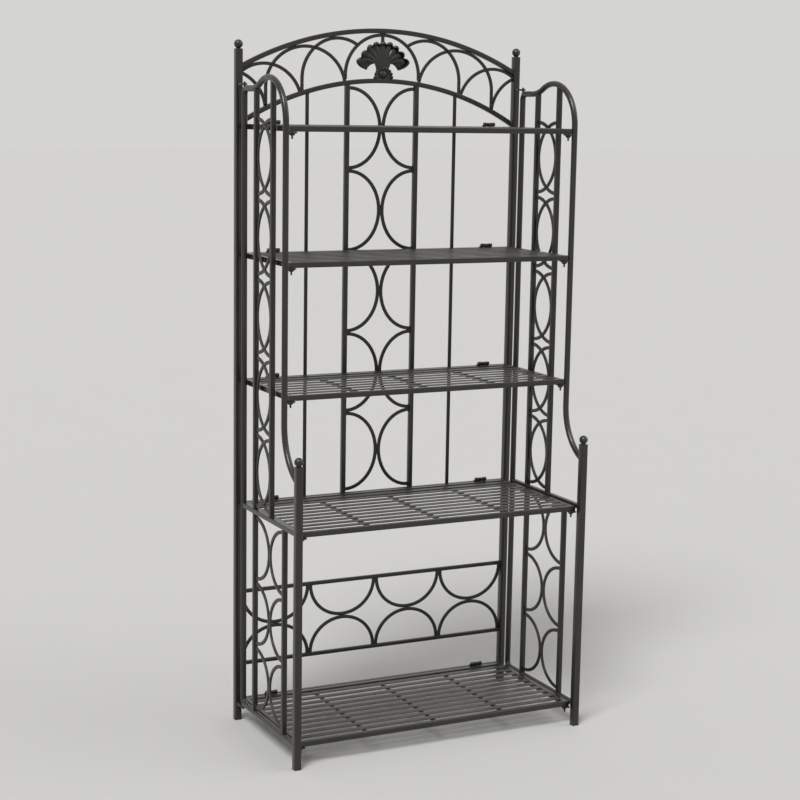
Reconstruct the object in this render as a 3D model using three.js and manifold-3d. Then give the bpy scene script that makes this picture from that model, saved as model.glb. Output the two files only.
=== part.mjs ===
// Folding five-tier iron shelf rack with an arched, ornamented back panel.
//
// Millimetres, +Z up, front faces -Y. The origin is the centre of the footprint at floor level.
// The back panel is the fixed body. Two bent-tube side panels turn on pins held by lugs in front
// of the rear posts, and five slatted shelves fold up on hinges along the back rails.

import * as THREE from "three";
import { mergeVertices } from "three/addons/utils/BufferGeometryUtils.js";
import Module from "manifold-3d";

const wasm = await Module();
wasm.setup();

// Overall frame
const rackHeight = 1905;
const rackWidth = 860;
const rackDepth = 441;
const postSize = 19;
const postWall = 1.2;
const glideHeight = 3;
const weldGap = 0.3;
const weldBite = 0.6;

// Shelf levels, bottom first
const bottomShelfTop = 66;
const lowerBay = 558;
const shelfCount = 5;
const deepShelfCount = 2;

// Back panel
const archAboveShelf = 120;
const archSpacing = 134;
const archRailSize = 12.7;
const innerArchRise = 114.3;
const outerArchRise = 102.7;
const postAboveArch = 42;
const barSize = 12.7;
const scrollWidth = 9.6;
const scrollThickness = 5;
const thickBarOffset = 105;
const thinBarOffset = 224.5;
const scrollEndGap = 2.5;
const backPairCount = 5;
const lowRailSize = 10;
const lowBandAboveShelf = 301;
const lowBandHeight = 206;
const lowArcCount = 4;

// Crest tracery: arches between the two bent bars, given by their feet and by how far each
// crown stays below the outer arch's crown
const crestRise = 109;
const crestStrip = 9;
const crestFeetShares = [[-0.27, 0.27], [0.063, 0.58], [0.27, 0.835], [0.58, 1.107], [0.835, 1.37]];
const crestCrownShares = [0.108, 0.22, 0.455, 0.92, 1.1];

// Shell ornament on the inner arch
const shellLobes = 9;
const shellFanShare = 0.9;
const shellTopReach = 68;
const shellSideReach = 81;
const lobeHalfWidth = 10.5;
const lobeShares = [[0.4, 0.12], [0.72, 0.5], [1, 0.8], [0.72, 0.95]];
const shellHalfDepth = 8;
const shellForward = 4;
const shellNeckRadius = 21;
const shellNeckHeight = 16;
const shellBaseRadius = 29;
const shellBaseHeight = 16;
const collarShares = [[0.8, 0], [1, 0.4], [0.8, 1]];
const domeShares = [[1, 0], [0.94, 0.5], [0.6, 1]];
const hangerSize = 8;

// Side panels
const hingeStandoff = 35.5;
const frameTubeRadius = 8;
const cornerBend = 16;
const bottomRailDrop = 5;
const sideCornerAboveShelf = 92;
const sideCrestRise = 28;
const sideCrestPlace = 0;
const shoulderRadius = 115;
const dipRadius = 118.9;
const frontSweepAboveShelf = 266;
const frontSweepRadius = 145;
const sideRailAboveShelf = 5;
const rearBarPlace = 80.5;
const frontBarPlace = -32;
const lowBarPlace = -123.5;
const grilleTopGap = 62;
const upperPairCount = 5;
const lowerPairCount = 3;
const frontPostAboveShelf = 172;

// Side panel hinges
const lugWidth = 14;
const lugThickness = 5;
const lugClearance = 7;
const sidePinRadius = 3;
const sidePinPlay = 0.3;
const sidePinEnd = 4;
const sidePinCollarRadius = 6;
const sidePinCollarHeight = 3;

// Finials
const finialRadius = 11.7;
const finialNeckRadius = 5;
const finialNeckHeight = 3;
const finialCapHeight = 2;

// Shelves
const shelfRail = 14;
const shelfSideGap = 2;
const shelfRearGap = 2.3;
const upperShelfInset = 4;
const deepShelfInset = 4.5;
const slatWidth = 22;
const slatThickness = 2;
const slatPitch = 36;
const crossBarCount = 3;
const crossBarWidth = 6;
const crossBarHeight = 8;

// Shelf hinges
const hingeOffset = 327;
const hingeRise = 6;
const hingeSetback = 1.65;
const earWidth = 10;
const earRadius = 5;
const earFootLength = 10;
const earFootHeight = 3;
const eyeWidth = 14;
const eyeRadius = 4.5;
const eyeGap = 0.5;
const leafThickness = 2;
const hingePinRadius = 2;
const hingePinPlay = 0.3;
const hingePinHeadRadius = 3.2;
const hingePinHeadHeight = 1.5;

// Tabs on the side panels, with the wing screws that hold the shelves
const tabReach = 20;
const tabLength = 20;
const tabThickness = 4;
const studRadius = 2.5;
const studEnd = 8;
const nutRadius = 4.5;
const nutHeight = 6;
const wingReach = 9.5;
const wingHeight = 10;
const wingThickness = 2.5;

// Facet counts
const archSteps = 20;
const scrollSteps = 8;
const tubeSides = 8;
const pinSides = 8;
const ballSides = 8;
const bendSteps = 3;
const sweepSteps = 6;
const roundSteps = 4;
const crestSteps = 12;

// Derived places
const postX = (rackWidth - postSize) / 2;
const rearY = (rackDepth - postSize) / 2;
const frontY = -rearY;
const rearPostFace = rearY - postSize / 2;
const frontPostFace = frontY + postSize / 2;
const outerArchZ = rackHeight - archRailSize / 2;
const innerArchZ = outerArchZ - archSpacing;
const upperBay = (innerArchZ - archAboveShelf - bottomShelfTop - lowerBay) / (shelfCount - 2);
const shelfTops = Array.from({ length: shelfCount }, (_, n) => (
  n === 0 ? bottomShelfTop : bottomShelfTop + lowerBay + (n - 1) * upperBay
));
const topShelf = shelfTops[shelfCount - 1];
const middleShelf = shelfTops[1];
const innerPostX = postX - postSize / 2;
const innerArchRadius = archRadius(innerArchRise);
const outerArchRadius = archRadius(outerArchRise);
const rearPostTop = outerArchZ - outerArchRise + postAboveArch;
const lowBandTop = bottomShelfTop + lowBandAboveShelf;
const frontPostTop = middleShelf + frontPostAboveShelf;
const backRailY = rearY - barSize;
const pivotY = rearPostFace - hingeStandoff;
const frontSweepTop = middleShelf + frontSweepAboveShelf;
const bottomRailZ = bottomShelfTop - bottomRailDrop;
const sideCornerZ = topShelf + sideCornerAboveShelf;
const sideCrestZ = sideCornerZ + sideCrestRise;
const sideRailZ = middleShelf + sideRailAboveShelf - barSize / 2;
const frontTubeY = sideCrestPlace - shoulderRadius;
const axisY = backRailY - barSize / 2 - hingeSetback;
const shelfRearY = backRailY - barSize / 2 - shelfRearGap;
const shelfHalfWidth = postX - frameTubeRadius - shelfSideGap;
const upperShelfFront = frontTubeY - upperShelfInset;
const deepShelfFront = frontPostFace + deepShelfInset;

// Radius of an arch that spans the posts with the given rise
function archRadius(rise) {
  return (innerPostX ** 2 + rise ** 2) / (2 * rise);
}

// Finishes: one powder coat over tube, rod, sheet and castings, each worn a little differently
const coat = (color, roughness, metalness) => new THREE.MeshStandardMaterial({
  color,
  roughness,
  metalness,
  flatShading: true,
});
const tubeCoat = coat(0x3a3b37, 0.42, 0.25);
const scrollCoat = coat(0x33332f, 0.48, 0.25);
const slatCoat = coat(0x40413d, 0.5, 0.25);
const castCoat = coat(0x363632, 0.52, 0.2);
const tabSteel = coat(0x1c1c1b, 0.5, 0.3);
const glidePlastic = coat(0x121212, 0.65, 0);

// Keep only positions, so that meshes built by different classes can be joined
function bare(geometry) {
  const plain = geometry.index ? geometry.toNonIndexed() : geometry.clone();
  for (const name of Object.keys(plain.attributes)) {
    if (name !== "position") plain.deleteAttribute(name);
  }
  return plain;
}

// A closed geometry as a solid that can be joined and cut
function solid(geometry) {
  const merged = mergeVertices(bare(geometry));
  return new wasm.Manifold(new wasm.Mesh({
    numProp: 3,
    vertProperties: new Float32Array(merged.attributes.position.array),
    triVerts: new Uint32Array(merged.index.array),
  }));
}

// The solid's triangles as a geometry
function geometryOf(body) {
  const mesh = body.getMesh();
  const geometry = new THREE.BufferGeometry();
  const places = new Float32Array(mesh.vertProperties);
  geometry.setAttribute("position", new THREE.BufferAttribute(places, 3));
  geometry.setIndex(new THREE.BufferAttribute(new Uint32Array(mesh.triVerts), 1));
  return geometry;
}

function joined(geometries) {
  return geometryOf(geometries.map(solid).reduce((sum, part) => sum.add(part)));
}

function cut(geometry, tools) {
  return geometryOf(tools.map(solid).reduce((rest, tool) => rest.subtract(tool), solid(geometry)));
}

// A block between two corners
function block(low, high) {
  const size = high.map((value, n) => value - low[n]);
  const middle = high.map((value, n) => (value + low[n]) / 2);
  return new THREE.BoxGeometry(...size).translate(...middle);
}

// An outline made solid, standing on the plane that it is drawn in
function plate(shape, thickness) {
  return new THREE.ExtrudeGeometry(shape, {
    depth: thickness,
    bevelEnabled: false,
    curveSegments: roundSteps,
  });
}

// An outline in (x, z) made solid along Y, centred on y
function backPlate(shape, thickness, y) {
  return plate(shape, thickness).rotateX(Math.PI / 2).translate(0, y + thickness / 2, 0);
}

// An outline in (y, z) made solid along X, centred on x
function sidePlate(shape, thickness, x) {
  const turn = new THREE.Matrix4().makeBasis(
    new THREE.Vector3(0, 1, 0),
    new THREE.Vector3(0, 0, 1),
    new THREE.Vector3(1, 0, 0),
  );
  return plate(shape, thickness).applyMatrix4(turn).translate(x - thickness / 2, 0, 0);
}

// An outline in (x, y) made solid along Z, from the height z upwards
function flatPlate(shape, thickness, z) {
  return plate(shape, thickness).translate(0, 0, z);
}

// A strip of even width along a plane curve given by its centre points
function strip(points, width) {
  const left = [];
  const right = [];
  points.forEach((point, n) => {
    const before = points[Math.max(n - 1, 0)];
    const after = points[Math.min(n + 1, points.length - 1)];
    const normal = new THREE.Vector2(before.y - after.y, after.x - before.x).normalize();
    left.push(point.clone().addScaledVector(normal, width / 2));
    right.push(point.clone().addScaledVector(normal, -width / 2));
  });
  return new THREE.Shape([...left, ...right.reverse()]);
}

// Points of an elliptical arc about (x, z), with angles measured from +x towards +z
function arcPoints(x, z, radiusX, radiusZ, from, to, steps) {
  return Array.from({ length: steps + 1 }, (_, n) => {
    const angle = from + (to - from) * n / steps;
    return new THREE.Vector2(x + radiusX * Math.cos(angle), z + radiusZ * Math.sin(angle));
  });
}

// Outline of half an elliptical ring, its ends half a turn apart from the given angle on
function halfRing(x, z, radiusX, radiusZ, width, from) {
  const edge = (grow) => (
    arcPoints(x, z, radiusX + grow, radiusZ + grow, from, from + Math.PI, scrollSteps)
  );
  return new THREE.Shape([...edge(width / 2), ...edge(-width / 2).reverse()]);
}

// The angles from which a half ring opens on its own centre line: bulging right, left, up or down
const bulge = { right: -Math.PI / 2, left: Math.PI / 2, up: 0, down: Math.PI };

// A curve that is only asked for its stations, so that a section is swept from one to the next
class StationPath extends THREE.Curve {
  constructor(stations) {
    super();
    this.stations = stations;
  }

  getPoint(t, target = new THREE.Vector3()) {
    return target.copy(this.stations[Math.round(t * (this.stations.length - 1))]);
  }

  getPointAt(u, target) {
    return this.getPoint(u, target);
  }

  getTangentAt(u, target = new THREE.Vector3()) {
    const last = this.stations.length - 1;
    const n = Math.round(u * last);
    const into = this.stations[n].clone().sub(this.stations[Math.max(n - 1, 0)]).normalize();
    const out = this.stations[Math.min(n + 1, last)].clone().sub(this.stations[n]).normalize();
    return target.copy(into).add(out).normalize();
  }
}

// A rod of round section along points in the plane x
function bentRod(points, x, radius) {
  const stations = points.map((point) => new THREE.Vector3(x, point.x, point.y));
  const section = new THREE.Shape(arcPoints(0, 0, radius, radius, 0, 2 * Math.PI, tubeSides).slice(0, -1));
  return new THREE.ExtrudeGeometry(section, {
    steps: stations.length - 1,
    bevelEnabled: false,
    extrudePath: new StationPath(stations),
  });
}

// A turned piece standing on (x, y), its profile given as [radius, height] pairs
function turned(profile, x, y, sides) {
  const points = profile.map(([radius, height]) => new THREE.Vector2(radius, height));
  return new THREE.LatheGeometry(points, sides).rotateX(Math.PI / 2).translate(x, y, 0);
}

function cylinderX(radius, length, y, z, sides) {
  return new THREE.CylinderGeometry(radius, radius, length, sides).rotateZ(Math.PI / 2).translate(0, y, z);
}

function cylinderZ(radius, low, high, x, y, sides) {
  return new THREE.CylinderGeometry(radius, radius, high - low, sides)
    .rotateX(Math.PI / 2)
    .translate(x, y, (low + high) / 2);
}

const rack = new THREE.Group();

function add(name, geometry, material) {
  const mesh = new THREE.Mesh(mergeVertices(bare(geometry)), material);
  mesh.name = name;
  rack.add(mesh);
}

// Square tube post between the glide and its finial
function postTube(x, y, top) {
  const half = postSize / 2;
  const bore = half - postWall;
  const shape = new THREE.Shape([[-half, -half], [half, -half], [half, half], [-half, half]]
    .map(([px, py]) => new THREE.Vector2(px, py)));
  shape.holes.push(new THREE.Path([[-bore, -bore], [-bore, bore], [bore, bore], [bore, -bore]]
    .map(([px, py]) => new THREE.Vector2(px, py))));
  return flatPlate(shape, top - glideHeight, glideHeight).translate(x, y, 0);
}

function glide(x, y) {
  const half = postSize / 2;
  return block([x - half, y - half, 0], [x + half, y + half, glideHeight]);
}

// Cap plate, neck and ball
function finial(x, y, postTop) {
  const half = postSize / 2;
  const neckTop = postTop + finialCapHeight + finialNeckHeight;
  const ballZ = neckTop + finialRadius - finialNeckRadius / 2;
  const cap = block([x - half, y - half, postTop], [x + half, y + half, postTop + finialCapHeight]);
  const neck = cylinderZ(finialNeckRadius, postTop + finialCapHeight / 2, ballZ, x, y, ballSides);
  const ball = new THREE.SphereGeometry(finialRadius, ballSides, ballSides - 2)
    .rotateX(Math.PI / 2)
    .translate(x, y, ballZ);
  return joined([cap, neck, ball]);
}

function archHeight(x, crown, radius) {
  return crown - radius + Math.sqrt(radius * radius - x * x);
}

// Points of an arch's curve, or of one parallel to it, from past the left post to past the right one
function archCurve(crown, radius, shift) {
  const reach = Math.asin((postX + postSize) / radius);
  const from = Math.PI / 2 + reach;
  return arcPoints(0, crown - radius, radius + shift, radius + shift, from, Math.PI - from, archSteps);
}

function archBand(crown, radius, width) {
  return new THREE.Shape([
    ...archCurve(crown, radius, width / 2),
    ...archCurve(crown, radius, -width / 2).reverse(),
  ]);
}

// Space between the rear posts, from one height to another
function betweenPosts(low, high) {
  const reach = innerPostX - weldGap;
  return block([-reach, rearY - postSize, low], [reach, rearY + postSize, high]);
}

// Bent square bar between the posts, with its crown at the given height
function arch(crown, radius) {
  const bar = solid(backPlate(archBand(crown, radius, archRailSize), archRailSize, rearY));
  return geometryOf(bar.intersect(solid(betweenPosts(crown - radius, crown + archRailSize))));
}

// The field between the arches, kept clear of both and of the posts
function crestField() {
  const clear = archRailSize / 2 + weldGap;
  const outline = [
    ...archCurve(innerArchZ, innerArchRadius, clear),
    ...archCurve(outerArchZ, outerArchRadius, -clear).reverse(),
  ];
  const field = solid(backPlate(new THREE.Shape(outline), scrollThickness * 2, rearY));
  return field.intersect(solid(betweenPosts(innerArchZ - innerArchRadius, outerArchZ)));
}

// Centre line of one arch with straight legs, its crown at the given height
function crestArch(from, to, crown) {
  const halfSpan = (to - from) / 2;
  const base = crown - crestRise;
  const curve = arcPoints((from + to) / 2, base, halfSpan, crestRise, Math.PI, 0, crestSteps);
  return [new THREE.Vector2(from, base - archSpacing), ...curve, new THREE.Vector2(to, base - archSpacing)];
}

const crestArches = crestFeetShares.map(([from, to], n) => (
  crestArch(from * innerPostX, to * innerPostX, outerArchZ - crestCrownShares[n] * outerArchRise)
));

// Nine arches: the middle one stands in front, the rest lean on it and on each other
function crestTracery() {
  const [middle, ...sides] = crestArches;
  const bent = (points) => solid(backPlate(strip(points, crestStrip), scrollThickness, rearY));
  const inside = solid(backPlate(new THREE.Shape(middle), scrollThickness * 2, rearY));
  const leaning = sides.map(bent).reduce((sum, part) => sum.add(part)).subtract(inside);
  const half = leaning.add(bent(middle));
  return geometryOf(half.add(half.mirror([1, 0, 0])).intersect(crestField()));
}

const shellFootZ = innerArchZ + archRailSize / 2 + weldGap;
const shellNeckZ = shellFootZ + shellBaseHeight;
const shellRootZ = shellNeckZ + shellNeckHeight;

// A turned piece of the shell with the given shares of a radius and a height, pressed flat
function shellTurning(shares, radius, low, height) {
  const profile = shares.map(([out, up]) => [radius * out, low + height * up]);
  const ends = [[0, profile[0][1]], ...profile, [0, profile[profile.length - 1][1]]];
  return turned(ends, 0, 0, ballSides).scale(1, shellHalfDepth / radius, 1);
}

// Fan of rounded lobes over a ruffled collar and a small half-dome foot
function shellOrnament() {
  const y = rearY - shellForward;
  const parts = [];
  for (let n = 0; n < shellLobes; n += 1) {
    const angle = Math.PI * shellFanShare * (n / (shellLobes - 1) - 1 / 2);
    const reach = shellTopReach + (shellSideReach - shellTopReach) * Math.sin(angle) ** 2;
    const lobe = shellTurning([...lobeShares, [0, 1]], lobeHalfWidth, 0, reach);
    parts.push(lobe.rotateY(angle).translate(0, y, shellRootZ));
  }
  const collarHeight = shellNeckHeight + lobeHalfWidth;
  const collar = shellTurning(collarShares, shellNeckRadius, shellNeckZ - weldBite, collarHeight);
  const dome = shellTurning(domeShares, shellBaseRadius, shellFootZ, shellBaseHeight);
  parts.push(collar.translate(0, y, 0), dome.translate(0, y, 0));
  return joined(parts);
}

// Short rod from the shell's top lobe to the middle arch of the tracery
function shellHanger() {
  const half = hangerSize / 2;
  const low = shellRootZ + shellTopReach + weldGap;
  const high = outerArchZ - crestCrownShares[0] * outerArchRise;
  const bar = block([-half, rearY - half, low], [half, rearY + half, high]);
  const middle = backPlate(strip(crestArches[0], crestStrip + weldGap * 2), postSize, rearY);
  return cut(bar, [middle]);
}

// Upright bar from the second shelf's rail to the inner arch, welded against the back rails
function backBar(x, width, thickness) {
  const low = middleShelf - barSize;
  const front = backRailY + barSize / 2;
  const high = archHeight(x, innerArchZ, innerArchRadius);
  const band = archBand(innerArchZ, innerArchRadius, archRailSize + weldGap * 2);
  const bar = block([x - width / 2, front, low], [x + width / 2, front + thickness, high]);
  return cut(bar, [backPlate(band, postSize, rearY)]);
}

// Facing half rings between the thick bars, welded where their bellies and their ends meet
function backScrolls() {
  const face = thickBarOffset - barSize / 2 - weldGap;
  const low = middleShelf + scrollEndGap;
  const archUnder = archHeight(thickBarOffset, innerArchZ, innerArchRadius) - archRailSize / 2;
  const pitch = (archUnder - scrollEndGap - low) / backPairCount;
  const reach = face - scrollWidth / 2 + weldBite;
  const tall = (pitch - scrollWidth) / 2 + weldBite;
  const rings = [];
  for (let n = 0; n < backPairCount; n += 1) {
    const z = low + (n + 1 / 2) * pitch;
    rings.push(halfRing(-face, z, reach, tall, scrollWidth, bulge.right));
    rings.push(halfRing(face, z, reach, tall, scrollWidth, bulge.left));
  }
  return joined(rings.map((ring) => backPlate(ring, scrollThickness, rearY)));
}

function lowBandRail(z) {
  const end = innerPostX - weldGap;
  const half = lowRailSize / 2;
  return block([-end, rearY - half, z - half], [end, rearY + half, z + half]);
}

// Hoops standing on the lower rail and hanging from the upper one, their crowns meeting half way
function lowBandScrolls() {
  const pitch = 2 * (innerPostX - weldGap - weldBite) / lowArcCount;
  const face = lowBandHeight / 2 - lowRailSize / 2 - weldGap;
  const middle = lowBandTop - lowBandHeight / 2;
  const wide = (pitch - scrollWidth) / 2 + weldBite;
  const tall = face - scrollWidth / 2 + weldBite;
  const hoops = [];
  for (let n = 0; n < lowArcCount; n += 1) {
    const x = (n + 1 / 2 - lowArcCount / 2) * pitch;
    hoops.push(halfRing(x, middle - face, wide, tall, scrollWidth, bulge.up));
    hoops.push(halfRing(x, middle + face, wide, tall, scrollWidth, bulge.down));
  }
  return joined(hoops.map((hoop) => backPlate(hoop, scrollThickness, rearY)));
}

// Profile of a shelf hinge ear: a foot on the back rail and a round nose about the pin
function hingeEar(x, axisZ) {
  const railTop = axisZ - hingeRise;
  const shape = new THREE.Shape();
  shape.absarc(axisY, axisZ, earRadius, Math.PI / 2, Math.PI * 3 / 2);
  shape.lineTo(axisY + hingeSetback, railTop);
  shape.lineTo(axisY + hingeSetback + weldBite, railTop - weldBite);
  shape.lineTo(axisY + hingeSetback + earFootLength, railTop - weldBite);
  shape.lineTo(axisY + hingeSetback + earFootLength, railTop + earFootHeight);
  return sidePlate(shape, earWidth, x);
}

const earOffset = eyeWidth / 2 + eyeGap + earWidth / 2;

// Riveted pin through both ears of a shelf hinge
function hingePin(x, z) {
  const half = earOffset + earWidth / 2 - weldBite;
  return turned([
    [0, -half - hingePinHeadHeight],
    [hingePinHeadRadius, -half - hingePinHeadHeight],
    [hingePinHeadRadius, -half],
    [hingePinRadius, -half],
    [hingePinRadius, half],
    [hingePinHeadRadius, half],
    [hingePinHeadRadius, half + hingePinHeadHeight],
    [0, half + hingePinHeadHeight],
  ], 0, 0, pinSides).rotateY(Math.PI / 2).translate(x, axisY, z);
}

// The rail behind a shelf, in front of the upright bars, with its two hinges welded on top
function backRail(top) {
  const end = innerPostX - weldGap;
  const half = barSize / 2;
  const parts = [block([-end, backRailY - half, top - barSize], [end, backRailY + half, top])];
  for (const x of [-hingeOffset, hingeOffset]) {
    const z = top + hingeRise;
    parts.push(hingeEar(x - earOffset, z), hingeEar(x + earOffset, z), hingePin(x, z));
  }
  return joined(parts);
}

// Arm on a rear post that holds a side panel's pin
function pivotLug(x, z) {
  const half = lugWidth / 2;
  const shape = new THREE.Shape();
  shape.moveTo(x + half, rearPostFace + weldBite);
  shape.lineTo(x - half, rearPostFace + weldBite);
  shape.absarc(x, pivotY, half, Math.PI, 2 * Math.PI);
  const hole = new THREE.Path();
  hole.absarc(x, pivotY, sidePinRadius + sidePinPlay, 0, 2 * Math.PI, true);
  shape.holes.push(hole);
  return flatPlate(shape, lugThickness, z);
}

// Outer height of a bent corner above its own centre line, where the pivot axis leaves the tube
const cornerRise = Math.sqrt((cornerBend + frameTubeRadius) ** 2 - cornerBend ** 2) - cornerBend;
const topLugZ = sideCornerZ + cornerRise + lugClearance;
const bottomLugZ = bottomRailZ - cornerRise - lugClearance - lugThickness;

function rearPost(x) {
  return joined([postTube(x, rearY, rearPostTop), pivotLug(x, topLugZ), pivotLug(x, bottomLugZ)]);
}

// Centre line of a side panel's tube in (y, z), from the front post round to the front post again
function frameLine() {
  const line = [];
  const push = (points) => line.push(...points);
  const turn = Math.acos(1 - sideCrestRise / (2 * dipRadius));
  const dipY = sideCrestPlace + 2 * dipRadius * Math.sin(turn);
  const shoulderZ = sideCrestZ - shoulderRadius;
  const sweepAngle = Math.acos(1 - (frontTubeY - frontPostFace + frameTubeRadius) / frontSweepRadius);
  const quarter = Math.PI / 2;
  const arc = (y, z, radius, from, to, steps) => arcPoints(y, z, radius, radius, from, to, steps);
  const cornerY = pivotY - cornerBend;
  push([new THREE.Vector2(frontPostFace - frameTubeRadius, bottomRailZ)]);
  push(arc(cornerY, bottomRailZ + cornerBend, cornerBend, -quarter, 0, bendSteps));
  push(arc(cornerY, sideCornerZ - cornerBend, cornerBend, 0, quarter, bendSteps));
  push(arc(dipY, sideCornerZ + dipRadius, dipRadius, -quarter, -quarter - turn, bendSteps));
  push(arc(sideCrestPlace, sideCrestZ - dipRadius, dipRadius, quarter - turn, quarter, bendSteps).slice(1));
  push(arc(sideCrestPlace, shoulderZ, shoulderRadius, quarter, Math.PI, sweepSteps).slice(1));
  push(arc(frontTubeY - frontSweepRadius, frontSweepTop, frontSweepRadius, 0, -sweepAngle, sweepSteps));
  return line;
}

const sideLine = frameLine();

function sideTube(x, radius) {
  return bentRod(sideLine, x, radius);
}

// Pins on the panel's two rear corners, the lower one resting on its lug by a collar
function pivotPins(x) {
  const lugTop = bottomLugZ + lugThickness + weldGap;
  return [
    cylinderZ(sidePinRadius, sideCornerZ, topLugZ + lugThickness + sidePinEnd, x, pivotY, pinSides),
    turned([
      [0, bottomLugZ - sidePinEnd],
      [sidePinRadius, bottomLugZ - sidePinEnd],
      [sidePinRadius, lugTop],
      [sidePinCollarRadius, lugTop],
      [sidePinCollarRadius, lugTop + sidePinCollarHeight],
      [sidePinRadius, lugTop + sidePinCollarHeight],
      [sidePinRadius, bottomRailZ],
      [0, bottomRailZ],
    ], x, pivotY, pinSides),
  ];
}

// Where a shelf's front corner is held: the underside of its rim, the middle of its front rail
// and the face of the tube or post that carries the tab
function tabPlace(n) {
  const deep = n < deepShelfCount;
  return {
    z: shelfTops[n] - shelfRail - weldGap,
    y: (deep ? deepShelfFront : upperShelfFront) + shelfRail / 2,
    x: deep ? innerPostX - weldGap : postX - frameTubeRadius / 2,
    centre: (deep ? innerPostX : postX - frameTubeRadius) - tabReach / 2,
    tail: deep ? deepShelfInset + shelfRail / 2 : 0,
  };
}

// The same piece for the left side, its faces turned back out
function mirrored(geometry) {
  return geometryOf(solid(geometry).mirror([1, 0, 0]));
}

// Outline of one wing of the nut, in (x, z) about the nut's axis
function wingShape() {
  const shape = new THREE.Shape();
  shape.moveTo(0, 0);
  shape.lineTo(0, -nutHeight);
  shape.lineTo(nutRadius, -nutHeight);
  shape.quadraticCurveTo(wingReach, -nutHeight, wingReach, wingHeight - nutHeight);
  shape.lineTo(wingReach - wingThickness, wingHeight - nutHeight);
  shape.quadraticCurveTo(nutRadius, 0, nutRadius, -wingThickness);
  return shape;
}

// Flat tab on the front tube or post with its captive wing screw, drawn back from the shelf
function shelfTab(side, { x, y, z, centre, tail }) {
  const half = tabLength / 2;
  const plate = flatPlate(new THREE.Shape([
    [x, y - half - tail],
    [x, y + half],
    [centre - tabReach / 2, y + half],
    [centre - tabReach / 2, y - half],
  ].map(([px, py]) => new THREE.Vector2(px, py))), tabThickness, z - tabThickness);
  const under = z - tabThickness + weldBite;
  const screw = turned([
    [0, under - nutHeight - studEnd],
    [studRadius, under - nutHeight - studEnd],
    [studRadius, under - nutHeight],
    [nutRadius, under - nutHeight],
    [nutRadius, under],
    [0, under],
  ], centre, y, pinSides);
  const wing = backPlate(wingShape(), wingThickness, 0);
  const lift = z - tabThickness - wingHeight + nutHeight - weldGap;
  const right = wing.clone().translate(centre, y, lift);
  const left = wing.clone().rotateZ(Math.PI).translate(centre, y, lift);
  const tab = cut(joined([plate, screw, right, left]), [sideTube(postX, frameTubeRadius + weldGap)]);
  return side > 0 ? tab : mirrored(tab);
}

// Tube of the panel with its pins, stopped at the back of the front post
function sideFrame(x) {
  const reach = postSize * 2;
  const post = block(
    [x - reach, frontY - reach, 0],
    [x + reach, frontPostFace + weldGap, frontSweepTop],
  );
  return cut(joined([sideTube(x, frameTubeRadius), ...pivotPins(x)]), [post]);
}

function sideRail(x) {
  const half = barSize / 2;
  const rail = block(
    [x - half, frontPostFace + weldGap, sideRailZ - half],
    [x + half, pivotY, sideRailZ + half],
  );
  return cut(rail, [sideTube(x, frameTubeRadius + weldGap)]);
}

function sideBar(x, y, low, high) {
  const half = barSize / 2;
  return block([x - half, y - half, low], [x + half, y + half, high]);
}

// Half rings that stand on two upright bars at one height and bulge towards each other
function facingRings(x, z, rearFace, frontFace, reach, tall) {
  return [
    halfRing(rearFace, z, reach, tall, scrollWidth, bulge.left),
    halfRing(frontFace, z, reach, tall, scrollWidth, bulge.right),
  ].map((ring) => sidePlate(ring, scrollThickness, x));
}

// Two bars over the side rail with half rings that cross, each belly on the opposite bar
function upperGrille(x) {
  const railTop = sideRailZ + barSize / 2 + weldGap;
  const low = railTop + scrollEndGap;
  const high = sideCornerZ - frameTubeRadius - grilleTopGap;
  const pitch = (high - low) / upperPairCount;
  const rearFace = rearBarPlace - barSize / 2 + weldBite;
  const frontFace = frontBarPlace + barSize / 2 - weldBite;
  const parts = [
    sideBar(x, rearBarPlace, railTop, sideCornerZ),
    sideBar(x, frontBarPlace, railTop, sideCrestZ - frameTubeRadius),
  ];
  for (let n = 0; n < upperPairCount; n += 1) {
    const z = low + (n + 1 / 2) * pitch;
    const reach = rearFace - frontFace - scrollWidth / 2;
    const tall = (pitch - scrollWidth) / 2 - scrollEndGap;
    parts.push(...facingRings(x, z, rearFace, frontFace, reach, tall));
  }
  return cut(joined(parts), [sideTube(x, frameTubeRadius + weldGap)]);
}

// Two bars under the side rail with half rings whose bellies meet midway
function lowerGrille(x) {
  const railUnder = sideRailZ - barSize / 2 - weldGap;
  const low = bottomRailZ + frameTubeRadius + scrollEndGap;
  const high = railUnder - scrollEndGap;
  const pitch = (high - low) / lowerPairCount;
  const rearFace = rearBarPlace - barSize / 2 + weldBite;
  const frontFace = lowBarPlace + barSize / 2 - weldBite;
  const parts = [
    sideBar(x, rearBarPlace, bottomRailZ, railUnder),
    sideBar(x, lowBarPlace, bottomRailZ, railUnder),
  ];
  for (let n = 0; n < lowerPairCount; n += 1) {
    const z = low + (n + 1 / 2) * pitch;
    const reach = (rearFace - frontFace - scrollWidth) / 2 + weldBite;
    const tall = (pitch - scrollWidth) / 2 - scrollEndGap;
    parts.push(...facingRings(x, z, rearFace, frontFace, reach, tall));
  }
  return cut(joined(parts), [sideTube(x, frameTubeRadius + weldGap)]);
}

// Leaf on a shelf's rear rail, curled into an eye about the hinge pin
function shelfEye(x, top) {
  const z = top + hingeRise;
  const half = eyeWidth / 2;
  const ring = cylinderX(eyeRadius, eyeWidth, axisY, z, tubeSides).translate(x, 0, 0);
  const leaf = block(
    [x - half, shelfRearY - shelfRail, top - weldBite],
    [x + half, shelfRearY, top + leafThickness],
  );
  const web = block([x - half, shelfRearY - leafThickness, top - weldBite], [x + half, shelfRearY, z]);
  const bore = cylinderX(hingePinRadius + hingePinPlay, eyeWidth * 2, axisY, z, pinSides)
    .translate(x, 0, 0);
  return cut(joined([ring, leaf, web]), [bore]);
}

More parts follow.
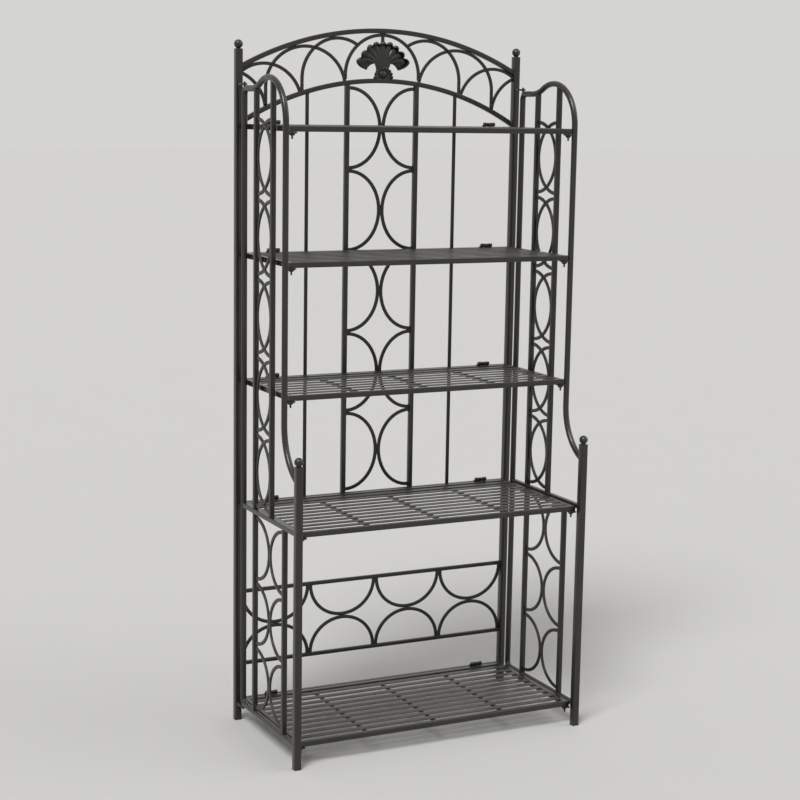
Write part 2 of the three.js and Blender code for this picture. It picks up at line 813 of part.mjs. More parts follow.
// Rectangular rim of square tube with the two hinge leaves
function shelfRim(top, front) {
  const outline = (inset) => [
    [-shelfHalfWidth + inset, front + inset],
    [shelfHalfWidth - inset, front + inset],
    [shelfHalfWidth - inset, shelfRearY - inset],
    [-shelfHalfWidth + inset, shelfRearY - inset],
  ].map(([px, py]) => new THREE.Vector2(px, py));
  const shape = new THREE.Shape(outline(0));
  shape.holes.push(new THREE.Path(outline(shelfRail)));
  const rim = flatPlate(shape, shelfRail, top - shelfRail);
  return joined([rim, shelfEye(-hingeOffset, top), shelfEye(hingeOffset, top)]);
}

// Slats along the shelf, welded to cross bars that run from the front rail to the rear one
function shelfDeck(top, front) {
  const end = shelfHalfWidth - shelfRail - weldGap;
  const inFront = front + shelfRail;
  const inRear = shelfRearY - shelfRail;
  const gaps = Math.round((inRear - inFront + slatWidth) / slatPitch);
  const pitch = (inRear - inFront + slatWidth) / gaps;
  const under = top - slatThickness;
  const parts = [];
  for (let n = 1; n < gaps; n += 1) {
    const rear = inFront + n * pitch;
    parts.push(block([-end, rear - slatWidth, under], [end, rear, top]));
  }
  for (let n = 1; n <= crossBarCount; n += 1) {
    const x = shelfHalfWidth * (2 * n / (crossBarCount + 1) - 1);
    const half = crossBarWidth / 2;
    parts.push(block(
      [x - half, inFront + weldGap, under - crossBarHeight],
      [x + half, inRear - weldGap, under + weldBite],
    ));
  }
  return joined(parts);
}

function buildBackPanel() {
  for (const [name, side] of [["left", -1], ["right", 1]]) {
    add(`rear_post_${name}`, rearPost(side * postX), tubeCoat);
    add(`rear_finial_${name}`, finial(side * postX, rearY, rearPostTop), castCoat);
    add(`rear_glide_${name}`, glide(side * postX, rearY), glidePlastic);
    add(`thick_back_bar_${name}`, backBar(side * thickBarOffset, barSize, barSize), tubeCoat);
    add(`thin_back_bar_${name}`, backBar(side * thinBarOffset, scrollWidth, scrollThickness), scrollCoat);
  }
  add("outer_arch", arch(outerArchZ, outerArchRadius), tubeCoat);
  add("inner_arch", arch(innerArchZ, innerArchRadius), tubeCoat);
  add("crest_tracery", crestTracery(), scrollCoat);
  add("shell_ornament", shellOrnament(), castCoat);
  add("shell_hanger", shellHanger(), scrollCoat);
  add("back_scrolls", backScrolls(), scrollCoat);
  add("low_band_upper_rail", lowBandRail(lowBandTop), scrollCoat);
  add("low_band_lower_rail", lowBandRail(lowBandTop - lowBandHeight), scrollCoat);
  add("low_band_scrolls", lowBandScrolls(), scrollCoat);
  shelfTops.forEach((top, n) => add(`back_rail_${n + 1}`, backRail(top), tubeCoat));
}

function buildSidePanel(name, side) {
  const x = side * postX;
  add(`${name}_front_post`, postTube(x, frontY, frontPostTop), tubeCoat);
  add(`${name}_front_finial`, finial(x, frontY, frontPostTop), castCoat);
  add(`${name}_front_glide`, glide(x, frontY), glidePlastic);
  add(`${name}_frame_tube`, sideFrame(x), tubeCoat);
  add(`${name}_side_rail`, sideRail(x), tubeCoat);
  add(`${name}_upper_grille`, upperGrille(x), scrollCoat);
  add(`${name}_lower_grille`, lowerGrille(x), scrollCoat);
  shelfTops.forEach((_, n) => add(`${name}_shelf_tab_${n + 1}`, shelfTab(side, tabPlace(n)), tabSteel));
}

function buildShelf(n) {
  const front = n < deepShelfCount ? deepShelfFront : upperShelfFront;
  add(`shelf_${n + 1}_rim`, shelfRim(shelfTops[n], front), tubeCoat);
  add(`shelf_${n + 1}_deck`, shelfDeck(shelfTops[n], front), slatCoat);
}

buildBackPanel();
buildSidePanel("left", -1);
buildSidePanel("right", 1);
shelfTops.forEach((_, n) => buildShelf(n));

export default rack;
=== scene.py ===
"""Finished look of a folding five-shelf steel rack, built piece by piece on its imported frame.

Metres, +Z up, front faces -Y. Every bar, tube, casting and fastener is made again here with its
real rounding, welds and wear, and takes the place of the plain solid that it stands for.
"""

import logging
import math
import random
from collections.abc import Callable, Mapping, Sequence
from dataclasses import dataclass
from enum import Enum
from functools import partial
from itertools import pairwise

import bmesh
import bpy
from bmesh.types import BMesh, BMFace
from mathutils import Matrix, Vector


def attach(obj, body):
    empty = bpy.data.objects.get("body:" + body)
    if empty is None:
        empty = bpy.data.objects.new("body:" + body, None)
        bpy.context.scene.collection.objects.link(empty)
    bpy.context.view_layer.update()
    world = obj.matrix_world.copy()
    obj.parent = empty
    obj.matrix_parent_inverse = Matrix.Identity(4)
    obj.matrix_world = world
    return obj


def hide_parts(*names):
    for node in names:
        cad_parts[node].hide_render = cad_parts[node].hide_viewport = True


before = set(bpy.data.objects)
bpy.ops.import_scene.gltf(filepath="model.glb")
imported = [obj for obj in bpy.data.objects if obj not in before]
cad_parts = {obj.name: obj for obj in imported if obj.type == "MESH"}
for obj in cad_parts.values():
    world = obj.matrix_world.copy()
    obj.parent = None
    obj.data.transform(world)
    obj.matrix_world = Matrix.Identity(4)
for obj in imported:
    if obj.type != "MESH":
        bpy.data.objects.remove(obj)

Triple = tuple[float, float, float]
Colour = Triple
Profile = Sequence[tuple[float, float]]

log = logging.getLogger("rack")

ACROSS = Vector((1, 0, 0))
BACKWARD = Vector((0, 1, 0))
UPWARD = Vector((0, 0, 1))
STAY = Matrix.Identity(4)
MIRROR = Matrix.Diagonal((-1, 1, 1, 1))
QUARTER = math.pi / 2
LYING = Matrix.Rotation(QUARTER, 4, "Y")
SIDES = (("left", -1), ("right", 1))
BAR_CORNER = 0.0015
SINK = 0.0004


@dataclass(frozen=True)
class Layout:
    """Sizes and places that the sub-assemblies share."""

    height: float = 1.905
    width: float = 0.860
    depth: float = 0.441
    post: float = 0.019
    bar: float = 0.0127
    glide: float = 0.003
    scroll_width: float = 0.0096
    scroll_thickness: float = 0.005
    bottom_shelf: float = 0.066
    lower_bay: float = 0.558
    shelf_count: int = 5
    deep_shelves: int = 2
    arch_above_shelf: float = 0.120
    arch_spacing: float = 0.134
    inner_rise: float = 0.1143
    outer_rise: float = 0.1027
    tube_radius: float = 0.008
    hinge_standoff: float = 0.0355
    hinge_offset: float = 0.327
    hinge_rise: float = 0.006
    hinge_setback: float = 0.00165
    shelf_rail: float = 0.014

    @property
    def post_x(self) -> float:
        """Distance of a post's axis from the middle plane."""
        return (self.width - self.post) / 2

    @property
    def rear_y(self) -> float:
        """Place of the back panel's plane."""
        return (self.depth - self.post) / 2

    @property
    def front_y(self) -> float:
        """Place of the front posts' axes."""
        return -self.rear_y

    @property
    def inner_x(self) -> float:
        """Distance of the posts' inner faces from the middle plane."""
        return self.post_x - self.post / 2

    @property
    def outer_arch(self) -> float:
        """Crown of the outer arch's centre line."""
        return self.height - self.bar / 2

    @property
    def inner_arch(self) -> float:
        """Crown of the inner arch's centre line."""
        return self.outer_arch - self.arch_spacing

    @property
    def shelf_tops(self) -> list[float]:
        """Heights of the shelves, bottom first.

        Returns:
            The heights.
        """
        second = self.bottom_shelf + self.lower_bay
        bay = (self.inner_arch - self.arch_above_shelf - second) / (self.shelf_count - 2)
        return [self.bottom_shelf] + [second + n * bay for n in range(self.shelf_count - 1)]

    @property
    def rail_y(self) -> float:
        """Place of the back rails, in front of the upright bars."""
        return self.rear_y - self.bar

    @property
    def axis_y(self) -> float:
        """Place of the shelf hinges' pins."""
        return self.rail_y - self.bar / 2 - self.hinge_setback

    @property
    def pivot_y(self) -> float:
        """Place of the side panels' pins."""
        return self.rear_y - self.post / 2 - self.hinge_standoff

    def arch_radius(self, rise: float) -> float:
        """Radius of an arch that spans the posts with the given rise."""
        return (self.inner_x**2 + rise**2) / (2 * rise)

    def arch_height(self, x: float, crown: float, rise: float) -> float:
        """Height of an arch's centre line at a distance from the middle plane."""
        radius = self.arch_radius(rise)
        return crown - radius + math.sqrt(radius**2 - x**2)


class Outline(Enum):
    """Cross-sections that the stock comes in."""

    SQUARE = "square"
    ROUND = "round"


@dataclass(frozen=True)
class Stock:
    """Bar or tube stock: its section's outline, width, height and corner radius."""

    outline: Outline
    width: float
    height: float
    corner: float = 0.0012
    sides: int = 20

    def section(self, work: BMesh) -> BMFace:
        """Draws the section flat on the work's floor plane.

        Args:
            work: Mesh that gets the section's face.

        Returns:
            The section's face.
        """
        if self.outline is Outline.ROUND:
            bmesh.ops.create_circle(work, cap_ends=True, segments=self.sides, radius=self.width / 2)
        else:
            bmesh.ops.create_grid(work, x_segments=1, y_segments=1, size=0.5)
            bmesh.ops.scale(work, vec=(self.width, self.height, 1), verts=work.verts)
            bmesh.ops.bevel(
                work, geom=work.verts[:], offset=self.corner, offset_type="OFFSET",
                segments=3, profile=0.5, affect="VERTICES", material=-1,
            )
        work.faces.ensure_lookup_table()
        return work.faces[0]


def square(width: float, corner: float, height: float = 0.0) -> Stock:
    """Gives square bar, or flat bar when it has a height of its own."""
    return Stock(Outline.SQUARE, width, height or width, corner)


def new_work() -> BMesh:
    """Starts an empty mesh with the mark that edge wear reads.

    Returns:
        The mesh.
    """
    work = bmesh.new()
    work.faces.layers.float.new("corner")
    return work


def station(point: Vector, ahead: Vector, up: Vector, grow: float = 1.0) -> Matrix:
    """Gives the frame in which a section stands on a bar's line.

    Args:
        point: Place on the line.
        ahead: Direction in which the bar goes on.
        up: Direction that the section's height follows.
        grow: Scale of the section there.

    Returns:
        A matrix from the section's own plane to its place.
    """
    along = ahead.normalized()
    side = up.cross(along).normalized()
    turn = Matrix((side * grow, along.cross(side) * grow, along)).transposed().to_4x4()
    turn.translation = point
    return turn


def stations(points: Sequence[Vector], up: Vector, grows: Sequence[float] = ()) -> list[Matrix]:
    """Gives the frames along a line of points, each square to the line.

    Args:
        points: The bar's centre line.
        up: Direction that the section's height follows.
        grows: Scale of the section at each point, or nothing for an even bar.

    Returns:
        One frame a point.
    """
    frames = []
    last = len(points) - 1
    for n, point in enumerate(points):
        into = (point - points[max(n - 1, 0)]).normalized()
        out = (points[min(n + 1, last)] - point).normalized()
        frames.append(station(point, into + out, up, grows[n] if grows else 1.0))
    return frames


def bend(stock: Stock, frames: Sequence[Matrix]) -> BMesh:
    """Draws stock out from one frame to the next.

    Args:
        stock: What the bar is made of.
        frames: Where its section stands, from end to end.

    Returns:
        The closed bar.
    """
    work = new_work()
    mark = work.faces.layers.float["corner"]
    end = stock.section(work)
    bmesh.ops.transform(work, matrix=frames[0], verts=work.verts)
    for before, after in pairwise(frames):
        grown = bmesh.ops.extrude_face_region(work, geom=[end])
        end = next(item for item in grown["geom"] if isinstance(item, BMFace))
        if stock.outline is Outline.SQUARE:
            for edge in end.edges:
                if edge.calc_length() < stock.corner:
                    for face in edge.link_faces:
                        face[mark] = 0.0 if face is end else 1.0
        bmesh.ops.transform(work, matrix=after @ before.inverted(), verts=end.verts)
    bmesh.ops.recalc_face_normals(work, faces=work.faces)
    return work


def straight(stock: Stock, start: Vector, end: Vector, up: Vector) -> BMesh:
    """Cuts a straight length of stock between two points."""
    return bend(stock, stations([start, end], up))


def arc(
    centre: Vector, first: Vector, second: Vector, start: float, end: float, steps: int
) -> list[Vector]:
    """Gives points of an elliptical arc.

    Args:
        centre: Middle of the ellipse.
        first: Half axis that angle zero points along.
        second: Half axis a quarter turn further.
        start: First angle.
        end: Last angle.
        steps: Number of chords.

    Returns:
        The points, both ends among them.
    """
    angles = [start + (end - start) * n / steps for n in range(steps + 1)]
    return [centre + first * math.cos(a) + second * math.sin(a) for a in angles]


def block(low: Sequence[float], high: Sequence[float], corner: float = 0.001) -> BMesh:
    """Makes a block between two corners, with its edges rounded.

    Args:
        low: Corner with the least coordinates.
        high: Corner opposite.
        corner: Size of the rounding.

    Returns:
        Its mesh.
    """
    work = new_work()
    mark = work.faces.layers.float["corner"]
    bmesh.ops.create_cube(work, size=1)
    low, high = Vector(low), Vector(high)
    bmesh.ops.scale(work, vec=high - low, verts=work.verts)
    bmesh.ops.translate(work, vec=(low + high) / 2, verts=work.verts)
    rounded = bmesh.ops.bevel(
        work, geom=work.edges[:], offset=corner, offset_type="OFFSET",
        segments=2, profile=0.5, affect="EDGES", material=-1,
    )
    for face in rounded["faces"]:
        face[mark] = 1.0
    return work


def turned(profile: Profile, sides: int = 32) -> BMesh:
    """Spins a profile of (radius, height) pairs about the Z axis into a closed piece.

    Args:
        profile: Radius and height of each point.
        sides: Steps round the axis.

    Returns:
        Its mesh.
    """
    work = new_work()
    points = [work.verts.new((radius, 0, height)) for radius, height in profile]
    edges = [work.edges.new(pair) for pair in pairwise(points)]
    bmesh.ops.spin(
        work, geom=points + edges, cent=(0, 0, 0), axis=UPWARD, dvec=(0, 0, 0),
        angle=2 * math.pi, steps=sides, use_merge=True,
    )
    bmesh.ops.remove_doubles(work, verts=work.verts, dist=1e-6)
    bmesh.ops.recalc_face_normals(work, faces=work.faces)
    return work


def eye(outer: float, inner: float, length: float, sides: int = 28) -> BMesh:
    """Makes a bored boss about the Z axis with broken edges, standing on its middle.

    Args:
        outer: Its radius.
        inner: Radius of the bore.
        length: Its length.
        sides: Steps round the axis.

    Returns:
        Its mesh.
    """
    half = length / 2
    soft = (outer - inner) / 6
    ring = [
        (inner, -half), (outer - soft, -half), (outer, -half + soft),
        (outer, half - soft), (outer - soft, half), (inner, half), (inner, -half),
    ]
    return turned(ring, sides)


def round_pin(radius: float, low: float, high: float, tip: float) -> Profile:
    """Gives a plain pin's profile, with both tips bevelled.

    Args:
        radius: Its radius.
        low: Height of the lower tip.
        high: Height of the upper tip.
        tip: Size of the bevels.

    Returns:
        The profile, for turned().
    """
    return [
        (0, low), (radius - tip, low), (radius, low + tip),
        (radius, high - tip), (radius - tip, high), (0, high),
    ]


def dome_profile(radius: float, depth: float, base: float, steps: int, start: float = 0.0) -> Profile:
    """Gives a dome's profile from the start angle up to just short of its pole."""
    angles = (start + (QUARTER - start) * n / steps for n in range(steps))
    return [(radius * math.cos(a), base + depth * math.sin(a)) for a in angles]


class Welder:
    """Lays small uneven weld beads, the same ones each time."""

    seed: int = 7
    unevenness: float = 0.13
    smoothing: float = 0.35

    def __init__(self) -> None:
        """Seeds the unevenness."""
        self.uneven = random.Random(self.seed)

    def bead(self, place: Sequence[float], size: Sequence[float]) -> BMesh:
        """Makes one bead, a flattened lump.

        Args:
            place: Its middle.
            size: Its half sizes along the three axes.

        Returns:
            The bead.
        """
        work = new_work()
        bmesh.ops.create_icosphere(work, subdivisions=2, radius=1)
        for vert in work.verts:
            vert.co *= 1 + self.uneven.uniform(-self.unevenness, self.unevenness)
        bmesh.ops.smooth_vert(work, verts=work.verts, factor=self.smoothing, use_axis_x=True,
                              use_axis_y=True, use_axis_z=True)
        bmesh.ops.scale(work, vec=Vector(size), verts=work.verts)
        bmesh.ops.translate(work, vec=Vector(place), verts=work.verts)
        return work

    def pair(
        self, piece: "Piece", middle: Sequence[float], step: Sequence[float], size: Sequence[float],
        *copies: Matrix,
    ) -> None:
        """Adds two beads to a piece, one on either side of a place.

        Args:
            piece: The piece that gets them.
            middle: The place between them.
            step: From there to the second bead.
            size: Half sizes of each.
            copies: Matrices that put copies of them in place.
        """
        for side in (-1, 1):
            place = [a + side * b for a, b in zip(middle, step)]
            piece.add(self.bead(place, size), *copies)


Socket = bpy.types.NodeSocket
Sockets = Mapping[str, Socket]
Value = Socket | float | Sequence[float]


class Wiring:
    """Puts nodes into a tree and joins them; most calls give the new node's output."""

    def __init__(self, tree: bpy.types.NodeTree) -> None:
        """Takes the tree to work in."""
        self.tree = tree

    def feed(self, slot: Socket, value: Value) -> None:
        """Joins an output to an input, or sets the input's plain value or colour.

        Args:
            slot: The input.
            value: Output to join, or the value.
        """
        if isinstance(value, Socket):
            self.tree.links.new(value, slot)
        else:
            slot.default_value = (*value, 1.0) if isinstance(value, Sequence) else value

    def add(self, kind: str, inputs: Mapping[str | int, Value], **settings: object) -> bpy.types.Node:
        """Adds a node.

        Args:
            kind: Its type, as Blender calls it after "ShaderNode".
            inputs: What its inputs get.
            settings: Its own settings, made before the inputs are filled.

        Returns:
            The node.
        """
        item = self.tree.nodes.new(f"ShaderNode{kind}")
        for name, value in settings.items():
            setattr(item, name, value)
        for name, value in inputs.items():
            self.feed(item.inputs[name], value)
        return item

    def noise(self, where: Socket, scale: Value, detail: float, roughness: float) -> Socket:
        """Adds a noise texture."""
        given = {"Vector": where, "Scale": scale, "Detail": detail, "Roughness": roughness}
        return self.add("TexNoise", given).outputs["Fac"]

    def maths(self, operation: str, *values: Value) -> Socket:
        """Adds a calculation on outputs or plain numbers."""
        return self.add("Math", dict(enumerate(values)), operation=operation).outputs["Value"]

    def ramp(self, value: Socket, low: float, high: float) -> Socket:
        """Adds a smooth step from 0 at low to 1 at high."""
        given = {"Value": value, "From Min": low, "From Max": high}
        return self.add("MapRange", given, interpolation_type="SMOOTHSTEP").outputs["Result"]

    def mix(self, share: Socket, first: Value, second: Value) -> Socket:
        """Adds a mix of two colours."""
        return self.add("Mix", {0: share, 6: first, 7: second}, data_type="RGBA").outputs["Result"]

    def bump(self, height: Socket, depth: float) -> Socket:
        """Adds a bump that tilts the surface's normal."""
        return self.add("Bump", {"Height": height, "Distance": depth}).outputs["Normal"]

    def effect(self, shared: "Effect", **values: Value) -> Socket:
        """Adds a shared effect with its own values, words in names joined by underscores."""
        given = {name.replace("_", " "): value for name, value in values.items()}
        return self.add("Group", given, node_tree=shared.group()).outputs[0]

    def dress(self, inputs: Mapping[str, Value]) -> None:
        """Fills inputs of the material's Principled BSDF.

        Args:
            inputs: What each named input gets.
        """
        shader = self.tree.nodes["Principled BSDF"]
        for name, value in inputs.items():
            self.feed(shader.inputs[name], value)


@dataclass(frozen=True)
class Effect:
    """A node group that several finishes use: its sockets and the recipe for its inside."""

    name: str
    inputs: Mapping[str, str]
    output: tuple[str, str]
    recipe: Callable[[Wiring, Sockets], Socket]

    def group(self) -> bpy.types.NodeTree:
        """Builds the group the first time and gives it.

        Returns:
            The group.
        """
        found = bpy.data.node_groups.get(self.name)
        if found:
            return found
        tree = bpy.data.node_groups.new(self.name, "ShaderNodeTree")
        sockets = [(*pair, "INPUT") for pair in self.inputs.items()] + [(*self.output, "OUTPUT")]
        for title, kind, way in sockets:
            tree.interface.new_socket(title, in_out=way, socket_type=f"NodeSocket{kind}")
        wire = Wiring(tree)
        result = self.recipe(wire, tree.nodes.new("NodeGroupInput").outputs)
        wire.feed(tree.nodes.new("NodeGroupOutput").inputs[self.output[0]], result)
        return tree


def coat_skin(wire: Wiring, given: Sockets) -> Socket:
    """Wires the orange peel and fine grit of a baked powder coat, as a height.

    Args:
        wire: Wiring of the group.
        given: The group's inputs.

    Returns:
        The height.
    """
    peel = wire.noise(given["Vector"], given["Peel Scale"], detail=2.0, roughness=0.45)
    grit = wire.noise(given["Vector"], scale=2600.0, detail=1.0, roughness=0.6)
    return wire.maths("ADD", peel, wire.maths("MULTIPLY", grit, given["Grit"]))


def edge_wear(wire: Wiring, given: Sockets) -> Socket:
    """Wires rubbed places along the stock's corners and on high spots, as a mask.

    Args:
        wire: Wiring of the group.
        given: The group's inputs.

    Returns:
        The mask.
    """
    patches = wire.noise(given["Vector"], scale=38.0, detail=5.0, roughness=0.68)
    chips = wire.noise(given["Vector"], scale=420.0, detail=3.0, roughness=0.6)
    both = wire.maths("MULTIPLY", patches, chips)
    rubbed = wire.maths("MULTIPLY", wire.ramp(both, low=0.24, high=0.40), given["Corner"])
    bare = wire.maths("MULTIPLY", wire.ramp(both, low=0.37, high=0.46), given["Bareness"])
    return wire.maths("MAXIMUM", wire.maths("MULTIPLY", rubbed, given["Amount"]), bare)


def settled_dust(wire: Wiring, given: Sockets) -> Socket:
    """Wires dust on faces that look up, broken by patches, as a mask.

    Args:
        wire: Wiring of the group.
        given: The group's inputs.

    Returns:
        The mask.
    """
    upness = wire.add("SeparateXYZ", {"Vector": given["Normal"]}).outputs["Z"]
    cloud = wire.noise(given["Vector"], scale=42.0, detail=6.0, roughness=0.75)
    facing = wire.ramp(upness, low=0.35, high=0.95)
    lying = wire.maths("MULTIPLY", facing, wire.ramp(cloud, low=0.18, high=0.86))
    return wire.maths("MULTIPLY", lying, given["Amount"])


def tone_drift(wire: Wiring, given: Sockets) -> Socket:
    """Wires a slow change of a coat's tone over the surface, with tiny flecks, as a colour.

    Args:
        wire: Wiring of the group.
        given: The group's inputs.

    Returns:
        The colour.
    """
    cloud = wire.noise(given["Vector"], scale=9.0, detail=4.0, roughness=0.6)
    flecks = wire.noise(given["Vector"], scale=1500.0, detail=0.0, roughness=0.5)
    tone = wire.mix(wire.ramp(cloud, low=0.3, high=0.7), given["Dark"], given["Light"])
    share = wire.maths("MULTIPLY", wire.ramp(flecks, low=0.62, high=0.74), given["Fleck Share"])
    return wire.mix(share, tone, given["Fleck"])


COAT_SKIN = Effect(
    "coat_skin", {"Vector": "Vector", "Peel Scale": "Float", "Grit": "Float"},
    ("Height", "Float"), coat_skin,
)
EDGE_WEAR = Effect(
    "edge_wear", {"Vector": "Vector", "Corner": "Float", "Amount": "Float", "Bareness": "Float"},
    ("Mask", "Float"), edge_wear,
)
SETTLED_DUST = Effect(
    "settled_dust", {"Vector": "Vector", "Normal": "Vector", "Amount": "Float"},
    ("Mask", "Float"), settled_dust,
)
TONE_DRIFT = Effect(
    "tone_drift",
    {"Vector": "Vector", "Dark": "Color", "Light": "Color", "Fleck": "Color", "Fleck Share": "Float"},
    ("Color", "Color"), tone_drift,
)


@dataclass(frozen=True)
class Finish:
    """What a piece's surface gets, and the CAD's slot that it stands for."""

    name: str
    slot: str

    def material(self) -> bpy.types.Material:
        """Builds the material the first time and gives it.

        Returns:
            The material.
        """
        found = bpy.data.materials.get(self.name)
        if found:
            return found
        made = bpy.data.materials.new(self.name)
        made.use_nodes = True
        made.diffuse_color = (*self.plain, 1.0)
        wire = Wiring(made.node_tree)
        self.paint(wire, wire.add("TexCoord", {}).outputs)
        return made


@dataclass(frozen=True)
class CoatFinish(Finish):
    """Baked powder coat on steel: tone, gloss, skin, wear and dust."""

    dark: Colour
    light: Colour
    gloss: float
    metallic: float
    peel_scale: float = 520.0
    skin_depth: float = 0.00006
    grit: float = 0.45
    wear: float = 0.5
    bareness: float = 0.15
    dust: float = 0.20
    lacquer: float = 0.30
    lacquer_gloss: float = 0.15
    fleck: Colour = (0.075, 0.072, 0.064)
    fleck_share: float = 0.28
    worn: Colour = (0.085, 0.079, 0.068)
    dusty: Colour = (0.17, 0.16, 0.135)
    gloss_drift: float = 0.16
    dust_dulls: float = 0.35
    wear_polishes: float = 0.10
    wear_bares: float = 0.45

    @property
    def plain(self) -> Colour:
        """Colour that stands for the finish in a plain view."""
        return self.light

    def paint(self, wire: Wiring, place: Sockets) -> None:
        """Wires tone, wear, dust, gloss and skin to the shader.

        Args:
            wire: The material's wiring.
            place: Outputs of its texture coordinates.
        """
        here = place["Object"]
        corner = wire.add("Attribute", {}, attribute_name="corner").outputs["Fac"]
        tone = wire.effect(TONE_DRIFT, Vector=here, Dark=self.dark, Light=self.light,
                           Fleck=self.fleck, Fleck_Share=self.fleck_share)
        wear = wire.effect(EDGE_WEAR, Vector=here, Corner=corner, Amount=self.wear,
                           Bareness=self.bareness)
        dust = wire.effect(SETTLED_DUST, Vector=here, Normal=place["Normal"], Amount=self.dust)
        skin = wire.effect(COAT_SKIN, Vector=here, Peel_Scale=self.peel_scale, Grit=self.grit)
        patches = wire.noise(here, scale=60.0, detail=4.0, roughness=0.6)
        sheen = wire.maths("MULTIPLY_ADD", patches, self.gloss_drift, self.gloss - self.gloss_drift / 2)
        dulled = wire.maths("MULTIPLY_ADD", dust, self.dust_dulls, sheen)
        wire.dress({
            "Base Color": wire.mix(dust, wire.mix(wear, tone, self.worn), self.dusty),
            "Roughness": wire.maths("MULTIPLY_ADD", wear, -self.wear_polishes, dulled),
            "Metallic": wire.maths("MULTIPLY_ADD", wear, self.wear_bares, self.metallic),
            "Coat Weight": self.lacquer,
            "Coat Roughness": self.lacquer_gloss,
            "Normal": wire.bump(skin, self.skin_depth),
        })


@dataclass(frozen=True)
class GlideFinish(Finish):
    """Moulded black plastic, scuffed where it meets the floor."""

    body: Colour = (0.010, 0.010, 0.010)
    scuffed: Colour = (0.055, 0.052, 0.048)
    scuff_depth: float = 0.00008

    @property
    def plain(self) -> Colour:
        """Colour that stands for the finish in a plain view."""
        return self.body

    def paint(self, wire: Wiring, place: Sockets) -> None:
        """Wires the scuffs to the shader, as CoatFinish does its wear.

        Args:
            wire: The material's wiring.
            place: Outputs of its texture coordinates.
        """
        scuffs = wire.noise(place["Object"], scale=240.0, detail=5.0, roughness=0.7)
        wire.dress({
            "Base Color": wire.mix(wire.ramp(scuffs, low=0.45, high=0.75), self.body, self.scuffed),
            "Roughness": wire.maths("MULTIPLY_ADD", scuffs, 0.3, 0.45),
            "Normal": wire.bump(scuffs, self.scuff_depth),
        })


TUBE_COAT = CoatFinish(
    "charcoal_tube", "tube", (0.0088, 0.0078, 0.0053), (0.0150, 0.0134, 0.0094), 0.32, 0.14,
)
SCROLL_COAT = CoatFinish(
    "charcoal_scroll", "scroll", (0.0058, 0.0049, 0.0034), (0.0100, 0.0088, 0.0063), 0.42, 0.10,
    wear=0.65, dust=0.15, lacquer=0.18,
)
SLAT_COAT = CoatFinish(
    "charcoal_slat", "slat", (0.0250, 0.0235, 0.0185), (0.0370, 0.0348, 0.0275), 0.38, 0.15,
    wear=0.7, bareness=0.3, dust=0.34, lacquer=0.08,
)
CAST_COAT = CoatFinish(
    "charcoal_casting", "casting", (0.0078, 0.0082, 0.0070), (0.0155, 0.0158, 0.0138), 0.36, 0.15,
    peel_scale=330.0, skin_depth=0.00012, wear=0.5, bareness=0.35, dust=0.35,
)
TAB_COAT = CoatFinish(
    "black_tab", "tab", (0.0060, 0.0060, 0.0056), (0.0105, 0.0104, 0.0096), 0.38, 0.2,
    wear=0.8, bareness=0.3, dust=0.15,
)
GLIDE_PLASTIC = GlideFinish("moulded_glide", "glide")


class Piece:
    """One object in the making: its parts are joined into one mesh, then it is set on a body."""

    def __init__(self, name: str, finish: Finish) -> None:
        """Starts an empty piece.

        Args:
            name: The object's name.
            finish: What its surface gets.
        """
        self.name = name
        self.finish = finish
        self.whole = new_work()

    def add(self, part: BMesh, *places: Matrix) -> None:
        """Joins a part at each of the places given, or where it is.

        Args:
            part: A finished shape.
            places: Matrices that put copies of it in place.
        """
        for place in places or (STAY,):
            copy = bpy.data.meshes.new("part")
            part.to_mesh(copy)
            copy.transform(place)
            if place.determinant() < 0:
                copy.flip_normals()
            self.whole.from_mesh(copy)
            bpy.data.meshes.remove(copy)
        part.free()

    def set_down(self, body: str, *nodes: str, sharp: float = 40.0) -> bpy.types.Object:
        """Makes the object, dresses it and lets it ride.

        Args:
            body: The moving body that carries it.
            nodes: The plain solids that it stands for.
            sharp: Angle in degrees past which an edge stays crisp.

        Returns:
            The finished object.
        """
        for face in self.whole.faces:
            face.smooth = True
        mesh = bpy.data.meshes.new(self.name)
        self.whole.to_mesh(mesh)
        self.whole.free()
        mesh.set_sharp_from_angle(angle=math.radians(sharp))
        mesh.materials.append(self.finish.material())
        made = bpy.data.objects.new(self.name, mesh)
        bpy.context.scene.collection.objects.link(made)
        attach(made, body)
        if nodes:
            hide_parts(*nodes)
        log.info("%s: %d faces on %s", self.name, len(mesh.polygons), body)
        return made


def shift(x: float = 0.0, y: float = 0.0, z: float = 0.0) -> Matrix:
    """Gives a plain move."""
    return Matrix.Translation((x, y, z))


